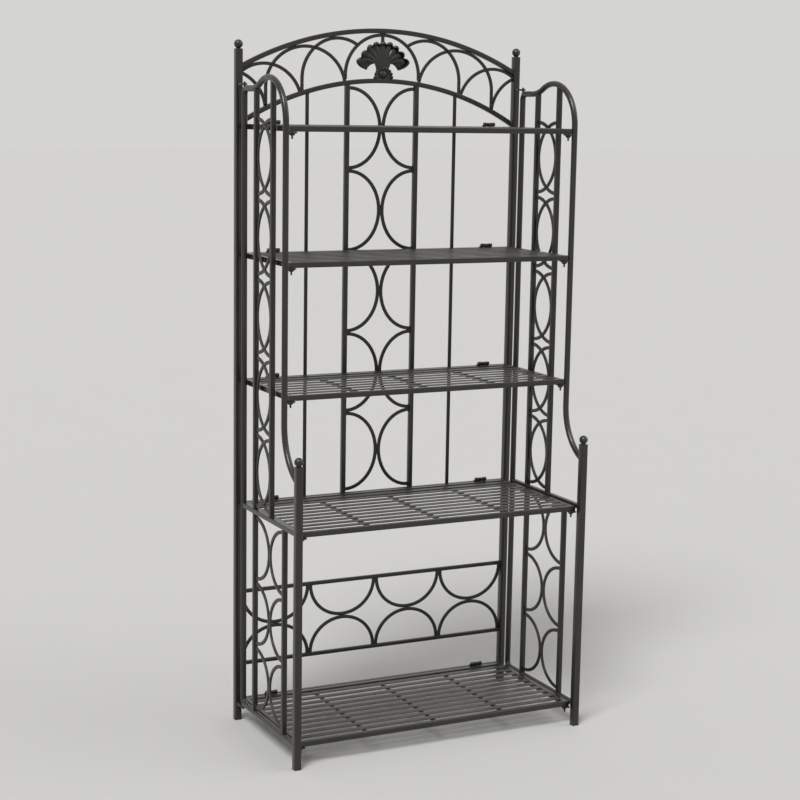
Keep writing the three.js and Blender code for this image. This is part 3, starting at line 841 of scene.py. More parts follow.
@dataclass
class Corner:
    """A post with its finial and glide."""

    layout: Layout
    x: float
    y: float
    top: float
    post_corner: float = 0.0022
    ball_radius: float = 0.0117
    neck_radius: float = 0.005
    neck_height: float = 0.003
    cap_height: float = 0.002
    seat_radius: float = 0.0078
    glide_corner: float = 0.0008

    @property
    def stock(self) -> Stock:
        """Square tube with drawn corners."""
        return square(self.layout.post, self.post_corner)

    def post(self, piece: Piece) -> None:
        """Adds the post's tube to a piece.

        Args:
            piece: Piece that gets it.
        """
        foot = Vector((self.x, self.y, self.layout.glide))
        head = Vector((self.x, self.y, self.top))
        piece.add(straight(self.stock, foot, head, BACKWARD))

    def finial(self, piece: Piece) -> None:
        """Adds the cap plate, the flared neck and the ball.

        Args:
            piece: Piece that gets it.
        """
        half = self.layout.post / 2
        neck = self.cap_height + self.neck_height
        middle = neck + self.ball_radius - self.neck_radius / 2
        start = math.asin(self.neck_radius / self.ball_radius) - QUARTER
        ball = dome_profile(self.ball_radius, self.ball_radius, middle, 18, start)
        flare = [
            (0, 0), (self.seat_radius, 0), (self.seat_radius, self.cap_height * 1.1),
            (self.seat_radius * 0.86, self.cap_height * 1.5), (self.neck_radius * 1.05, neck * 0.72),
            (self.neck_radius * 0.92, neck * 0.86),
        ]
        piece.add(turned([*flare, *ball, (0, middle + self.ball_radius)], 40),
                  shift(self.x, self.y, self.top))
        piece.add(block(
            (self.x - half, self.y - half, self.top),
            (self.x + half, self.y + half, self.top + self.cap_height), self.cap_height / 3,
        ))

    def glide(self, piece: Piece) -> None:
        """Adds the plug under the post.

        Args:
            piece: Piece that gets it.
        """
        half = self.layout.post / 2
        high = (self.x + half, self.y + half, self.layout.glide)
        piece.add(block((self.x - half, self.y - half, 0), high, self.glide_corner))

    def build(
        self, body: str, names: Sequence[str], node: str, fit: Callable[[Piece], None] | None = None
    ) -> None:
        """Makes the post, the finial and the glide as pieces of their own.

        Args:
            body: The moving body that carries them.
            names: Their names.
            node: The name of the solids, with a gap for the kind.
            fit: Adds to the post what it carries.
        """
        kinds = (("post", TUBE_COAT, self.post), ("finial", CAST_COAT, self.finial),
                 ("glide", GLIDE_PLASTIC, self.glide))
        for name, (kind, finish, shape) in zip(names, kinds):
            piece = Piece(name, finish)
            shape(piece)
            if fit and kind == "post":
                fit(piece)
            piece.set_down(body, node.format(kind))


@dataclass
class RearPosts:
    """Both rear posts with the lugs that carry the side panels."""

    layout: Layout
    welder: Welder
    above_arch: float = 0.042
    lug_radius: float = 0.007
    lug_thickness: float = 0.005
    lug_bore: float = 0.0033
    lug_corner: float = 0.0008
    lug_sink: float = 0.001
    lug_clearance: float = 0.007
    lug_weld: Triple = (0.0063, 0.0016, 0.0014)
    corner_bend: float = 0.016
    bottom_drop: float = 0.005
    corner_above_shelf: float = 0.092

    @property
    def top(self) -> float:
        """Height of the posts' upper ends."""
        return self.layout.outer_arch - self.layout.outer_rise + self.above_arch

    @property
    def corner_rise(self) -> float:
        """Height of a bent corner's outside over the centre line, on the pin's axis."""
        outer = self.corner_bend + self.layout.tube_radius
        return math.sqrt(outer**2 - self.corner_bend**2) - self.corner_bend

    @property
    def lug_heights(self) -> tuple[float, float]:
        """Undersides of the upper and the lower lug.

        Returns:
            The two heights.
        """
        above = self.layout.shelf_tops[-1] + self.corner_above_shelf
        below = self.layout.bottom_shelf - self.bottom_drop
        return (
            above + self.corner_rise + self.lug_clearance,
            below - self.corner_rise - self.lug_clearance - self.lug_thickness,
        )

    def lug(self, piece: Piece, x: float, low: float) -> None:
        """Adds one lug: a bored eye, the arm behind it and its weld.

        Args:
            piece: Piece that gets it.
            x: Middle of the post.
            low: Underside of the lug.
        """
        layout = self.layout
        face = layout.rear_y - layout.post / 2
        middle = low + self.lug_thickness / 2
        nose = eye(self.lug_radius, self.lug_bore, self.lug_thickness)
        piece.add(nose, shift(x, layout.pivot_y, middle))
        start = (x - self.lug_radius, layout.pivot_y + self.lug_bore * 1.3, low)
        end = (x + self.lug_radius, face + self.lug_sink, low + self.lug_thickness)
        piece.add(block(start, end, self.lug_corner))
        self.welder.pair(piece, (x, face, middle), (0, 0, self.lug_thickness / 2), self.lug_weld)

    def lugs(self, x: float, piece: Piece) -> None:
        """Adds both lugs to a post."""
        for low in self.lug_heights:
            self.lug(piece, x, low)

    def build(self) -> None:
        """Builds both posts with their lugs, and their finials and glides."""
        for name, side in SIDES:
            corner = Corner(self.layout, side * self.layout.post_x, self.layout.rear_y, self.top)
            names = (f"{name}_rear_post", f"{name}_rear_ball", f"{name}_rear_foot")
            corner.build("back_panel", names, "rear_{}_" + name, partial(self.lugs, corner.x))


@dataclass
class Crest:
    """The two bent arches and the tracery between them."""

    layout: Layout
    welder: Welder
    rise: float = 0.109
    strip: float = 0.009
    strip_corner: float = 0.0011
    feet: Profile = (
        (-0.27, 0.27), (0.063, 0.58), (0.27, 0.835), (0.58, 1.107), (0.835, 1.37),
    )
    crowns: tuple[float, ...] = (0.108, 0.22, 0.455, 0.92, 1.1)
    arch_corner: float = 0.0016
    arch_weld: Triple = (0.0016, 0.0012, 0.0062)
    toe_weld: Triple = (0.0042, 0.0009, 0.0030)
    top_weld: Triple = (0.0075, 0.0016, 0.0020)
    steps: int = 72
    leg_steps: int = 12
    bow_steps: int = 56
    field_margin: float = 0.002
    hanger: float = 0.008
    hanger_foot: float = 1.8715
    hanger_sink: float = 0.004
    hanger_corner: float = 0.0014
    hanger_weld: Triple = (0.0062, 0.0048, 0.0022)
    hanger_weld_drop: float = 0.001

    def arch(self, name: str, node: str, crown: float, rise: float) -> None:
        """Bends one square bar between the posts.

        Args:
            name: The piece's name.
            node: The solid that it stands for.
            crown: Height of its centre line in the middle.
            rise: Height of that over its ends.
        """
        layout = self.layout
        radius = layout.arch_radius(rise)
        reach = math.asin((layout.inner_x + layout.post / 4) / radius)
        line = arc(
            Vector((0, layout.rear_y, crown - radius)), ACROSS * radius, UPWARD * radius,
            QUARTER + reach, QUARTER - reach, self.steps,
        )
        piece = Piece(name, TUBE_COAT)
        piece.add(bend(square(layout.bar, self.arch_corner), stations(line, BACKWARD)))
        end = layout.arch_height(layout.inner_x, crown, rise)
        for x in (-layout.inner_x, layout.inner_x):
            self.welder.pair(piece, (x, layout.rear_y, end), (0, layout.bar / 2, 0), self.arch_weld)
        piece.set_down("back_panel", node)

    def curve(self, n: int) -> list[Vector]:
        """Gives the whole line of one small arch, legs and all.

        Args:
            n: Which small arch.

        Returns:
            Points along its middle.
        """
        layout = self.layout
        start, end = (share * layout.inner_x for share in self.feet[n])
        crown = layout.outer_arch - self.crowns[n] * layout.outer_rise
        base = crown - self.rise
        bow = arc(
            Vector(((start + end) / 2, layout.rear_y, base)), ACROSS * ((end - start) / 2),
            UPWARD * self.rise, math.pi, 0, self.bow_steps,
        )
        steps = [layout.arch_spacing * k / self.leg_steps for k in range(1, self.leg_steps + 1)]
        first = [Vector((start, layout.rear_y, bow[0].z - step)) for step in reversed(steps)]
        last = [Vector((end, layout.rear_y, bow[-1].z - step)) for step in steps]
        return [*first, *bow, *last]

    def inside(self, point: Vector, n: int) -> bool:
        """Tells whether a point of small arch n lies in the field that it keeps.

        Args:
            point: The point.
            n: Which small arch.

        Returns:
            True if it does.
        """
        layout = self.layout
        if abs(point.x) > layout.inner_x + self.field_margin:
            return False
        reach = min(abs(point.x), layout.inner_x)
        low = layout.arch_height(reach, layout.inner_arch, layout.inner_rise)
        high = layout.arch_height(reach, layout.outer_arch, layout.outer_rise)
        if not low < point.z < high:
            return False
        if n == 0:
            return True
        half = self.feet[0][1] * layout.inner_x
        base = layout.outer_arch - self.crowns[0] * layout.outer_rise - self.rise
        over = max(point.z - base, 0) / self.rise
        return (point.x / half) ** 2 + over**2 > 0.985

    def tracery(self) -> None:
        """Bends the nine small arches and trims each to its field."""
        bar = square(self.strip, self.strip_corner, self.layout.scroll_thickness)
        piece = Piece("crest_arches", SCROLL_COAT)
        for n in range(len(self.feet)):
            run: list[Vector] = []
            for point in [*self.curve(n), None]:
                if point is not None and self.inside(point, n):
                    run.append(point)
                    continue
                if len(run) > 2:
                    places = (STAY,) if n == 0 else (STAY, MIRROR)
                    piece.add(bend(bar, stations(run, BACKWARD)), *places)
                    self.toe_welds(piece, run, places)
                    self.crown_weld(piece, run, places)
                run = []
        piece.set_down("back_panel", "crest_tracery")

    def toe_welds(self, piece: Piece, run: Sequence[Vector], places: Sequence[Matrix]) -> None:
        """Adds a bead on both faces where a small arch ends on its neighbour.

        Args:
            piece: Piece that gets it.
            run: Kept part of the arch, as points.
            places: Where it stands.
        """
        for point, inner in ((run[0], run[2]), (run[-1], run[-3])):
            spot = point.lerp(inner, 0.8)
            self.welder.pair(piece, (spot.x, self.layout.rear_y, spot.z),
                             (0, self.layout.scroll_thickness / 2, 0), self.toe_weld, *places)

    def crown_weld(self, piece: Piece, run: Sequence[Vector], places: Sequence[Matrix]) -> None:
        """Adds a bead on both faces where a small arch touches the outer bent arch.

        Args:
            piece: Piece that gets it.
            run: Kept part of the arch, as points.
            places: Where it stands.
        """
        layout = self.layout

        def clear(point: Vector) -> float:
            """Gives the height from a point up to the outer arch."""
            return layout.arch_height(point.x, layout.outer_arch, layout.outer_rise) - point.z

        top = min(run, key=clear)
        if clear(top) <= layout.bar:
            self.welder.pair(piece, (top.x, layout.rear_y, top.z + self.strip / 2),
                             (0, layout.scroll_thickness / 2, 0), self.top_weld, *places)

    def shell_rod(self) -> None:
        """Adds the short rod from the middle arch to the shell."""
        layout = self.layout
        high = layout.outer_arch - self.crowns[0] * layout.outer_rise - self.strip / 3
        low = self.hanger_foot - self.hanger_sink
        ends = [Vector((0, layout.rear_y, z)) for z in (low, high)]
        piece = Piece("shell_rod", SCROLL_COAT)
        piece.add(straight(square(self.hanger, self.hanger_corner), *ends, BACKWARD))
        piece.add(self.welder.bead((0, layout.rear_y, high - self.hanger_weld_drop), self.hanger_weld))
        piece.set_down("back_panel", "shell_hanger")

    def build(self) -> None:
        """Builds the crest."""
        layout = self.layout
        self.arch("outer_bent_arch", "outer_arch", layout.outer_arch, layout.outer_rise)
        self.arch("inner_bent_arch", "inner_arch", layout.inner_arch, layout.inner_rise)
        self.tracery()
        self.shell_rod()


@dataclass
class Shell:
    """Cast shell: fluted lobes with curled rims over a ruff of petals round a smooth dome."""

    layout: Layout
    lobes: int = 9
    petals: int = 9
    columns: int = 12
    rows: int = 32
    spread: float = math.radians(77)
    root_height: float = 0.0245
    root_radius: float = 0.008
    top_reach: float = 0.0753
    side_reach: float = 0.0862
    scallop: float = 0.13
    rim: float = 0.0042
    rim_share: float = 0.30
    rim_turn: float = math.radians(210)
    flute: float = 0.0026
    bulge: float = 0.0072
    lift: float = 0.011
    droop: float = 0.0125
    thickness: float = 0.0011
    tip_trim: float = 0.34
    backset: float = 0.0025
    ruff_spread: float = math.radians(104)
    ruff_height: float = 0.0045
    ruff_reach: float = 0.0262
    dome_radius: float = 0.0122
    dome_depth: float = 0.0078
    dome_height: float = 0.0112
    dome_base: float = -0.002
    dome_setback: float = 0.0036
    petal_columns: int = 10
    petal_rim: float = 0.0023
    petal_flare: float = 0.0022
    petal_swell: float = 0.0013
    petal_sink: float = 0.0004
    sides: int = 40
    sharp: float = 62.0
    groove_width: float = 0.12
    groove_depth: float = 0.30
    unevenness: float = 0.012
    neck_flatness: float = 0.17
    neck_setback: float = 0.0012
    neck: Profile = (
        (0, -0.0004), (0.0270, -0.0004), (0.0268, 0.0030), (0.0238, 0.0100), (0.0206, 0.0180),
        (0.0196, 0.0270), (0.0222, 0.0340), (0.0250, 0.0420), (0.0236, 0.0510), (0.0150, 0.0590),
        (0, 0.0620),
    )

    @property
    def foot(self) -> float:
        """Top of the arch that the shell stands on."""
        return self.layout.inner_arch + self.layout.bar / 2

    def fan(self, lobes: int, columns: int, place: Callable[[float, float, float], Vector]) -> BMesh:
        """Shapes a sheet into a fan of lobes and gives it its thickness.

        Args:
            lobes: Number of lobes.
            columns: Strips of mesh in a lobe.
            place: Gives a point from the share across, the share outwards and the share in a lobe.

        Returns:
            The closed casting.
        """
        work = new_work()
        bmesh.ops.create_grid(work, x_segments=lobes * columns, y_segments=self.rows, size=0.5)
        for vert in work.verts:
            across, out = vert.co.x + 0.5, vert.co.y + 0.5
            vert.co = place(across, out, (across * lobes) % 1.0 if across < 1 else 0.0)
        bmesh.ops.recalc_face_normals(work, faces=work.faces)
        if sum(face.normal.y for face in work.faces) > 0:
            bmesh.ops.reverse_faces(work, faces=work.faces)
        bmesh.ops.solidify(work, geom=work.faces[:], thickness=self.thickness)
        bmesh.ops.recalc_face_normals(work, faces=work.faces)
        return work

    def rolled(self, out: float, start: float, reach: float, rim: float) -> tuple[float, float]:
        """Follows a lobe outwards and over its curled rim.

        Args:
            out: Share of the way over the sheet.
            start: Distance at which the sheet begins.
            reach: Distance of the rim's outermost point.
            rim: Radius of the curl.

        Returns:
            The distance from the root and the distance forwards.
        """
        flat = 1 - self.rim_share
        if out <= flat:
            return start + (reach - rim - start) * out / flat, 0.0
        turn = self.rim_turn * (out - flat) / self.rim_share
        return reach - rim + rim * math.sin(turn), rim * (1 - math.cos(turn))

    def lobe_point(self, across: float, out: float, within: float) -> Vector:
        """Gives a point of the big fan: bulged, fluted, scalloped and drooping at the sides.

        Args:
            across: Share of the way across the fan.
            out: Share of the way over the sheet.
            within: Share of the way across the lobe.

        Returns:
            The point.
        """
        share = 2 * across - 1
        angle, side = share * self.spread, abs(share)
        ridge = math.sin(math.pi * within)
        reach = self.top_reach + (self.side_reach - self.top_reach) * side**2
        reach *= 1 - self.scallop * (1 - ridge**0.7)
        past = max(0.0, 1 - (1 - side) * self.lobes)
        reach *= 1 - self.tip_trim * (1 - math.sqrt(1 - past**2))
        reach *= 1 + self.unevenness * math.sin(across * self.lobes * 2.3 + 1)
        rim = self.rim * (0.45 + 0.55 * ridge)
        far, fore = self.rolled(out, self.root_radius, reach, rim)
        part = far / reach
        groove = math.exp(-(((within - 0.5) / self.groove_width) ** 2))
        flute = self.flute * (ridge - self.groove_depth * groove) * min(1.0, 0.15 + part)
        crown = self.bulge * math.sin(math.pi * min(part * 0.85 + 0.10, 1.0)) * math.cos(angle * 0.6)
        x = far * math.sin(angle)
        z = far * math.cos(angle) + self.lift * side**2 * math.sin(math.pi * part)
        z -= self.droop * side**3 * part**3
        y = self.layout.rear_y + self.backset - flute - crown - fore
        return Vector((x, y, self.foot + self.root_height + z))

    def petal_point(self, across: float, out: float, within: float) -> Vector:
        """Gives a point of the ruff, whose frilled petals stand round the dome.

        Args:
            across: Share of the way across the ruff.
            out: Share of the way over the sheet.
            within: Share of the way across the petal.

        Returns:
            The point.
        """
        angle = (2 * across - 1) * self.ruff_spread
        ridge = math.sin(math.pi * within)
        reach = self.ruff_reach * (1 - 0.15 * (1 - ridge**0.8))
        rim = self.petal_rim * (0.5 + 0.5 * ridge)
        far, fore = self.rolled(out, self.dome_radius * 0.5, reach, rim)
        part = far / reach
        flare = self.petal_flare * part + self.petal_swell * ridge * part
        z = self.foot + self.ruff_height + far * math.cos(angle)
        y = self.layout.rear_y - self.bulge * 0.55 - flare - fore
        return Vector((far * math.sin(angle) * 1.08, y, max(z, self.foot - self.petal_sink)))

    def dome(self) -> BMesh:
        """Turns the smooth dome in the middle of the ruff, facing forwards.

        Returns:
            Its mesh.
        """
        arch = dome_profile(self.dome_radius, self.dome_depth, 0.0, 14)
        base = [(0, self.dome_base), (self.dome_radius, self.dome_base)]
        return turned([*base, *arch, (0, self.dome_depth)], self.sides)

    def build(self) -> None:
        """Builds the shell."""
        rear = self.layout.rear_y
        piece = Piece("cast_shell", CAST_COAT)
        piece.add(self.fan(self.lobes, self.columns, self.lobe_point))
        piece.add(self.fan(self.petals, self.petal_columns, self.petal_point))
        flat = Matrix.Diagonal((1, self.neck_flatness, 1, 1))
        piece.add(turned(self.neck, self.sides), shift(0, rear - self.neck_setback, self.foot) @ flat)
        forwards = Matrix.Rotation(QUARTER, 4, "X")
        place = shift(0, rear - self.dome_setback, self.foot + self.dome_height)
        piece.add(self.dome(), place @ forwards)
        piece.set_down("back_panel", "shell_ornament", sharp=self.sharp)


@dataclass
class HalfRings:
    """Half rings of flat bar in one plane, with the welds on what they stand against."""

    layout: Layout
    welder: Welder
    depth: Vector
    run_in: float = 0.003
    steps: int = 26
    corner: float = 0.0013
    weld_size: Triple = (0.0018, 0.0019, 0.0026)
    weld_lift: float = 0.0004

    @property
    def stock(self) -> Stock:
        """Flat bar with rolled edges."""
        return square(self.layout.scroll_width, self.corner, self.layout.scroll_thickness)

    def ring(self, piece: Piece, centre: Vector, out: Vector, half_pitch: Vector) -> None:
        """Adds one half ring.

        Args:
            piece: The piece that gets it.
            centre: Middle of its chord, on the face that it stands against.
            out: From there to the middle of its belly.
            half_pitch: From there to its far end's centre line.
        """
        bow = arc(centre, out, half_pitch, -QUARTER, QUARTER, self.steps)
        back = out.normalized() * self.run_in
        line = [bow[0] - back, *bow, bow[-1] - back]
        piece.add(bend(self.stock, stations(line, self.depth)))
        for end in (bow[0], bow[-1]):
            self.weld(piece, end, out.normalized(), half_pitch.normalized())

    def facing(self, piece: Piece, middle: Vector, out: Vector, half_pitch: Vector, face: float) -> None:
        """Adds two half rings that meet belly to belly, and the weld between them.

        Args:
            piece: The piece that gets them.
            middle: Where they meet.
            out: Direction from one to the other.
            half_pitch: From the middle of a ring's chord to its far end's centre line.
            face: Distance from the meeting point to the faces that they stand against.
        """
        belly = face - self.layout.scroll_width / 2
        for side in (-1, 1):
            self.ring(piece, middle - out * (side * face), out * (side * belly), half_pitch)
        self.weld(piece, middle, out, half_pitch.normalized())

    def weld(self, piece: Piece, spot: Vector, out: Vector, along: Vector) -> None:
        """Adds a bead on both sides of a bar's end or belly.

        Args:
            piece: The piece that gets the beads.
            spot: Middle of the joint.
            out: Direction square to the face that it is on.
            along: Direction of that face in the rings' plane.
        """
        half = self.layout.scroll_width / 2
        ways = zip(out, along, self.depth)
        size = [sum(abs(part) * reach for part, reach in zip(way, self.weld_size)) for way in ways]
        for side in (-1, 1):
            piece.add(self.welder.bead(spot + along * (side * half) + out * self.weld_lift, size))


@dataclass
class BackLattice:
    """Upright bars under the inner arch and the facing half rings between the thick ones."""

    layout: Layout
    welder: Welder
    thick_offset: float = 0.105
    thin_offset: float = 0.2245
    end_gap: float = 0.0025
    pairs: int = 5
    ring_overlap: float = 0.0005
    thin_corner: float = 0.0012
    shelf_weld: Triple = (0.0016, 0.0016, 0.0050)

    def upright(self, name: str, node: str, x: float, stock: Stock, y: float, finish: Finish) -> None:
        """Stands one bar between the table shelf's rail and the arch.

        Args:
            name: The piece's name.
            node: The solid that it stands for.
            x: Its place across.
            stock: What it is made of.
            y: Its place from front to back.
            finish: What its surface gets.
        """
        layout = self.layout
        low = layout.shelf_tops[1] - layout.bar
        high = layout.arch_height(x, layout.inner_arch, layout.inner_rise)
        piece = Piece(name, finish)
        piece.add(straight(stock, Vector((x, y, low)), Vector((x, y, high)), BACKWARD))
        half, step = layout.bar / 2, (stock.width / 2, 0, 0)
        self.welder.pair(piece, (x, y, high - half), step, (0.0015, stock.height * 0.4, 0.0018))
        for top in layout.shelf_tops[1:]:
            place = (x, layout.rear_y - half, top - half)
            self.welder.pair(piece, place, step, self.shelf_weld)
        piece.set_down("back_panel", node)

    def rings(self) -> None:
        """Stacks the facing half rings."""
        layout = self.layout
        maker = HalfRings(layout, self.welder, BACKWARD)
        face = self.thick_offset - layout.bar / 2
        low = layout.shelf_tops[1] + self.end_gap
        high = layout.arch_height(self.thick_offset, layout.inner_arch, layout.inner_rise)
        pitch = (high - layout.bar / 2 - self.end_gap - low) / self.pairs
        piece = Piece("back_rings", SCROLL_COAT)
        tall = UPWARD * ((pitch - layout.scroll_width) / 2 + self.ring_overlap)
        for n in range(self.pairs):
            maker.facing(piece, Vector((0, layout.rear_y, low + (n + 0.5) * pitch)), ACROSS, tall, face)
        piece.set_down("back_panel", "back_scrolls")

    def build(self) -> None:
        """Builds the lattice."""
        layout = self.layout
        thick = square(layout.bar, BAR_CORNER)
        thin = square(layout.scroll_width, self.thin_corner, layout.scroll_thickness)
        thin_y = layout.rear_y - layout.bar / 2 + layout.scroll_thickness / 2
        for name, side in SIDES:
            self.upright(f"{name}_thick_upright", f"thick_back_bar_{name}", side * self.thick_offset,
                         thick, layout.rear_y, TUBE_COAT)
            self.upright(f"{name}_thin_upright", f"thin_back_bar_{name}", side * self.thin_offset,
                         thin, thin_y, SCROLL_COAT)
        self.rings()


@dataclass
class LowBand:
    """Two rails behind the bottom bay with hoops standing on one and hanging from the other."""

    layout: Layout
    welder: Welder
    above_shelf: float = 0.301
    height: float = 0.206
    rail: float = 0.010
    hoops: int = 4
    hoop_overlap: float = 0.0003
    rail_sink: float = 0.003
    rail_corner: float = 0.0013
    rail_weld: Triple = (0.0015, 0.0012, 0.0045)

    def rails(self) -> None:
        """Lays both rails."""
        layout = self.layout
        top = layout.bottom_shelf + self.above_shelf
        for name, z in (("upper", top), ("lower", top - self.height)):
            piece = Piece(f"band_rail_{name}", SCROLL_COAT)
            reach = layout.inner_x + self.rail_sink
            ends = [Vector((side * reach, layout.rear_y, z)) for side in (-1, 1)]
            piece.add(straight(square(self.rail, self.rail_corner), *ends, BACKWARD))
            for x in (-layout.inner_x, layout.inner_x):
                self.welder.pair(piece, (x, layout.rear_y, z), (0, self.rail / 2, 0), self.rail_weld)
            piece.set_down("back_panel", f"low_band_{name}_rail")

    def hoop_row(self) -> None:
        """Bends the hoops and welds them crown to crown."""
        layout = self.layout
        maker = HalfRings(layout, self.welder, BACKWARD)
        pitch = 2 * layout.inner_x / self.hoops
        face = self.height / 2 - self.rail / 2
        middle = layout.bottom_shelf + self.above_shelf - self.height / 2
        wide = ACROSS * ((pitch - layout.scroll_width) / 2 + self.hoop_overlap)
        piece = Piece("band_hoops", SCROLL_COAT)
        for n in range(self.hoops):
            x = (n + 0.5 - self.hoops / 2) * pitch
            maker.facing(piece, Vector((x, layout.rear_y, middle)), UPWARD, wide, face)
        piece.set_down("back_panel", "low_band_scrolls")

    def build(self) -> None:
        """Builds the band."""
        self.rails()
        self.hoop_row()


@dataclass
class HingeRail:
    """A rail behind a shelf with two hinges' ears and riveted pins."""

    layout: Layout
    welder: Welder
    ear_width: float = 0.010
    ear_radius: float = 0.005
    ear_foot: float = 0.010
    ear_foot_height: float = 0.003
    ear_weld: Triple = (0.00425, 0.0014, 0.0012)
    ear_weld_lift: float = 0.0006
    foot_corner: float = 0.0007
    web_corner: float = 0.0009
    eye_width: float = 0.014
    eye_gap: float = 0.0005
    pin_radius: float = 0.002
    head_radius: float = 0.0032
    head_height: float = 0.0015
    head_sink: float = 0.0003
    rail_weld: Triple = (0.0014, 0.0018, 0.0052)
    rail_weld_inset: float = 0.0008

    @property
    def ear_offset(self) -> float:
        """Distance of an ear's middle from its hinge's middle."""
        return self.eye_width / 2 + self.eye_gap + self.ear_width / 2

    def ear(self, piece: Piece, x: float, top: float) -> None:
        """Adds one ear: a nose round the pin, a web and a foot on the rail.

        Args:
            piece: Piece that gets it.
            x: Middle of the ear.
            top: Top of the rail.
        """
        layout = self.layout
        axis = Vector((x, layout.axis_y, top + layout.hinge_rise))
        soft = self.ear_radius * 0.12
        half = self.ear_width / 2
        nose = turned([
            (0, -half), (self.ear_radius - soft, -half), (self.ear_radius, soft - half),
            (self.ear_radius, half - soft), (self.ear_radius - soft, half), (0, half),
        ], 28)
        piece.add(nose, Matrix.Translation(axis) @ LYING)
        foot = layout.axis_y + layout.hinge_setback
        plate = (x + half, foot + self.ear_foot, top + self.ear_foot_height)
        web = (x + half, foot + self.ear_radius * 0.75, top + layout.hinge_rise * 1.25)
        piece.add(block((x - half, foot, top - SINK), plate, self.foot_corner))
        piece.add(block((x - half, foot, top), web, self.web_corner))
        piece.add(self.welder.bead((x, foot + self.ear_foot, top + self.ear_weld_lift), self.ear_weld))

    def pin(self, piece: Piece, x: float, top: float) -> None:
        """Adds the riveted pin with a dome on each end.

        Args:
            piece: Piece that gets it.
            x: Middle of the hinge.
            top: Top of the rail.
        """
        layout = self.layout
        half = self.ear_offset + self.ear_width / 2
        seat = half - self.head_sink
        dome = dome_profile(self.head_radius, self.head_height, seat, 5)
        upper = [(self.pin_radius, seat), *dome, (0, seat + self.head_height)]
        profile = [(radius, -height) for radius, height in reversed(upper)] + upper
        place = shift(x, layout.axis_y, top + layout.hinge_rise) @ LYING
        piece.add(turned(profile, 20), place)

    def build(self) -> None:
        """Builds all five rails."""
        layout = self.layout
        for n, top in enumerate(layout.shelf_tops, 1):
            piece = Piece(f"hinge_rail_{n}", TUBE_COAT)
            z = top - layout.bar / 2
            ends = [Vector((side * layout.inner_x, layout.rail_y, z)) for side in (-1, 1)]
            piece.add(straight(square(layout.bar, BAR_CORNER), *ends, BACKWARD))
            for x in (-layout.hinge_offset, layout.hinge_offset):
                self.ear(piece, x - self.ear_offset, top)
                self.ear(piece, x + self.ear_offset, top)
                self.pin(piece, x, top)
            self.welder.pair(piece, (0, layout.rear_y - layout.post / 2, z),
                             (layout.inner_x - self.rail_weld_inset, 0, 0), self.rail_weld)
            piece.set_down("back_panel", f"back_rail_{n}")


@dataclass
class WingScrew:
    """Captive wing screw under a tab: threaded stud, nut body and two bent wings."""

    stud_radius: float = 0.0025
    stud_end: float = 0.008
    nut_radius: float = 0.0045
    nut_height: float = 0.006
    wing_reach: float = 0.0095
    wing_height: float = 0.010
    wing_thickness: float = 0.0025
    wing_width: float = 0.0030
    wing_corner: float = 0.0008
    wing_root: float = 0.0022
    wing_end: float = 0.0039
    threads: int = 7

    def stud(self) -> BMesh:
        """Turns the nut's body and the threaded end under it, about the origin, hanging down.

        Returns:
            Its mesh.
        """
        crest, root = self.stud_radius, self.stud_radius * 0.84
        low = self.nut_height
        pitch = (self.stud_end - 0.0008) / self.threads
        thread = []
        for n in range(self.threads):
            thread += [(root, -low - n * pitch - pitch * 0.25), (crest, -low - (n + 0.75) * pitch)]
        body = [
            (0, 0.0006), (self.nut_radius * 0.8, 0.0006), (self.nut_radius * 0.98, -0.0008),
            (self.nut_radius, -low * 0.45), (self.nut_radius * 0.82, -low * 0.9),
            (self.nut_radius * 0.7, -low),
        ]
        tip = [(root * 0.75, -low - self.stud_end), (0, -low - self.stud_end)]
        return turned([*body, *thread, *tip], 24)

    def wing(self) -> BMesh:
        """Bends one wing outwards and up, wider towards its rounded tip.

        Returns:
            Its mesh.
        """
        low, tip = -self.nut_height * 0.72, self.wing_height - self.nut_height - 0.0007
        points, grows = [], []
        for n in range(9):
            t = n / 8
            x = self.wing_root + (self.wing_reach - self.wing_end) * math.sin(QUARTER * t) ** 0.9
            z = low + (tip - low) * t**1.5
            points.append(Vector((x, 0, z)))
            grows.append(1.0 + 0.18 * t if n < 7 else (1.0 if n == 7 else 0.55))
        stock = square(self.wing_width, self.wing_corner, self.wing_thickness)
        return bend(stock, stations(points, BACKWARD, grows))

    def build(self, name: str, place: Matrix, body: str) -> None:
        """Puts one screw in place.

        Args:
            name: The object's name.
            place: Where the tab's underside carries it.
            body: The side panel that it rides on.
        """
        piece = Piece(name, TAB_COAT)
        piece.add(self.stud(), place)
        piece.add(self.wing(), place @ shift(z=-0.0003), place @ MIRROR @ shift(z=-0.0003))
        piece.set_down(body)


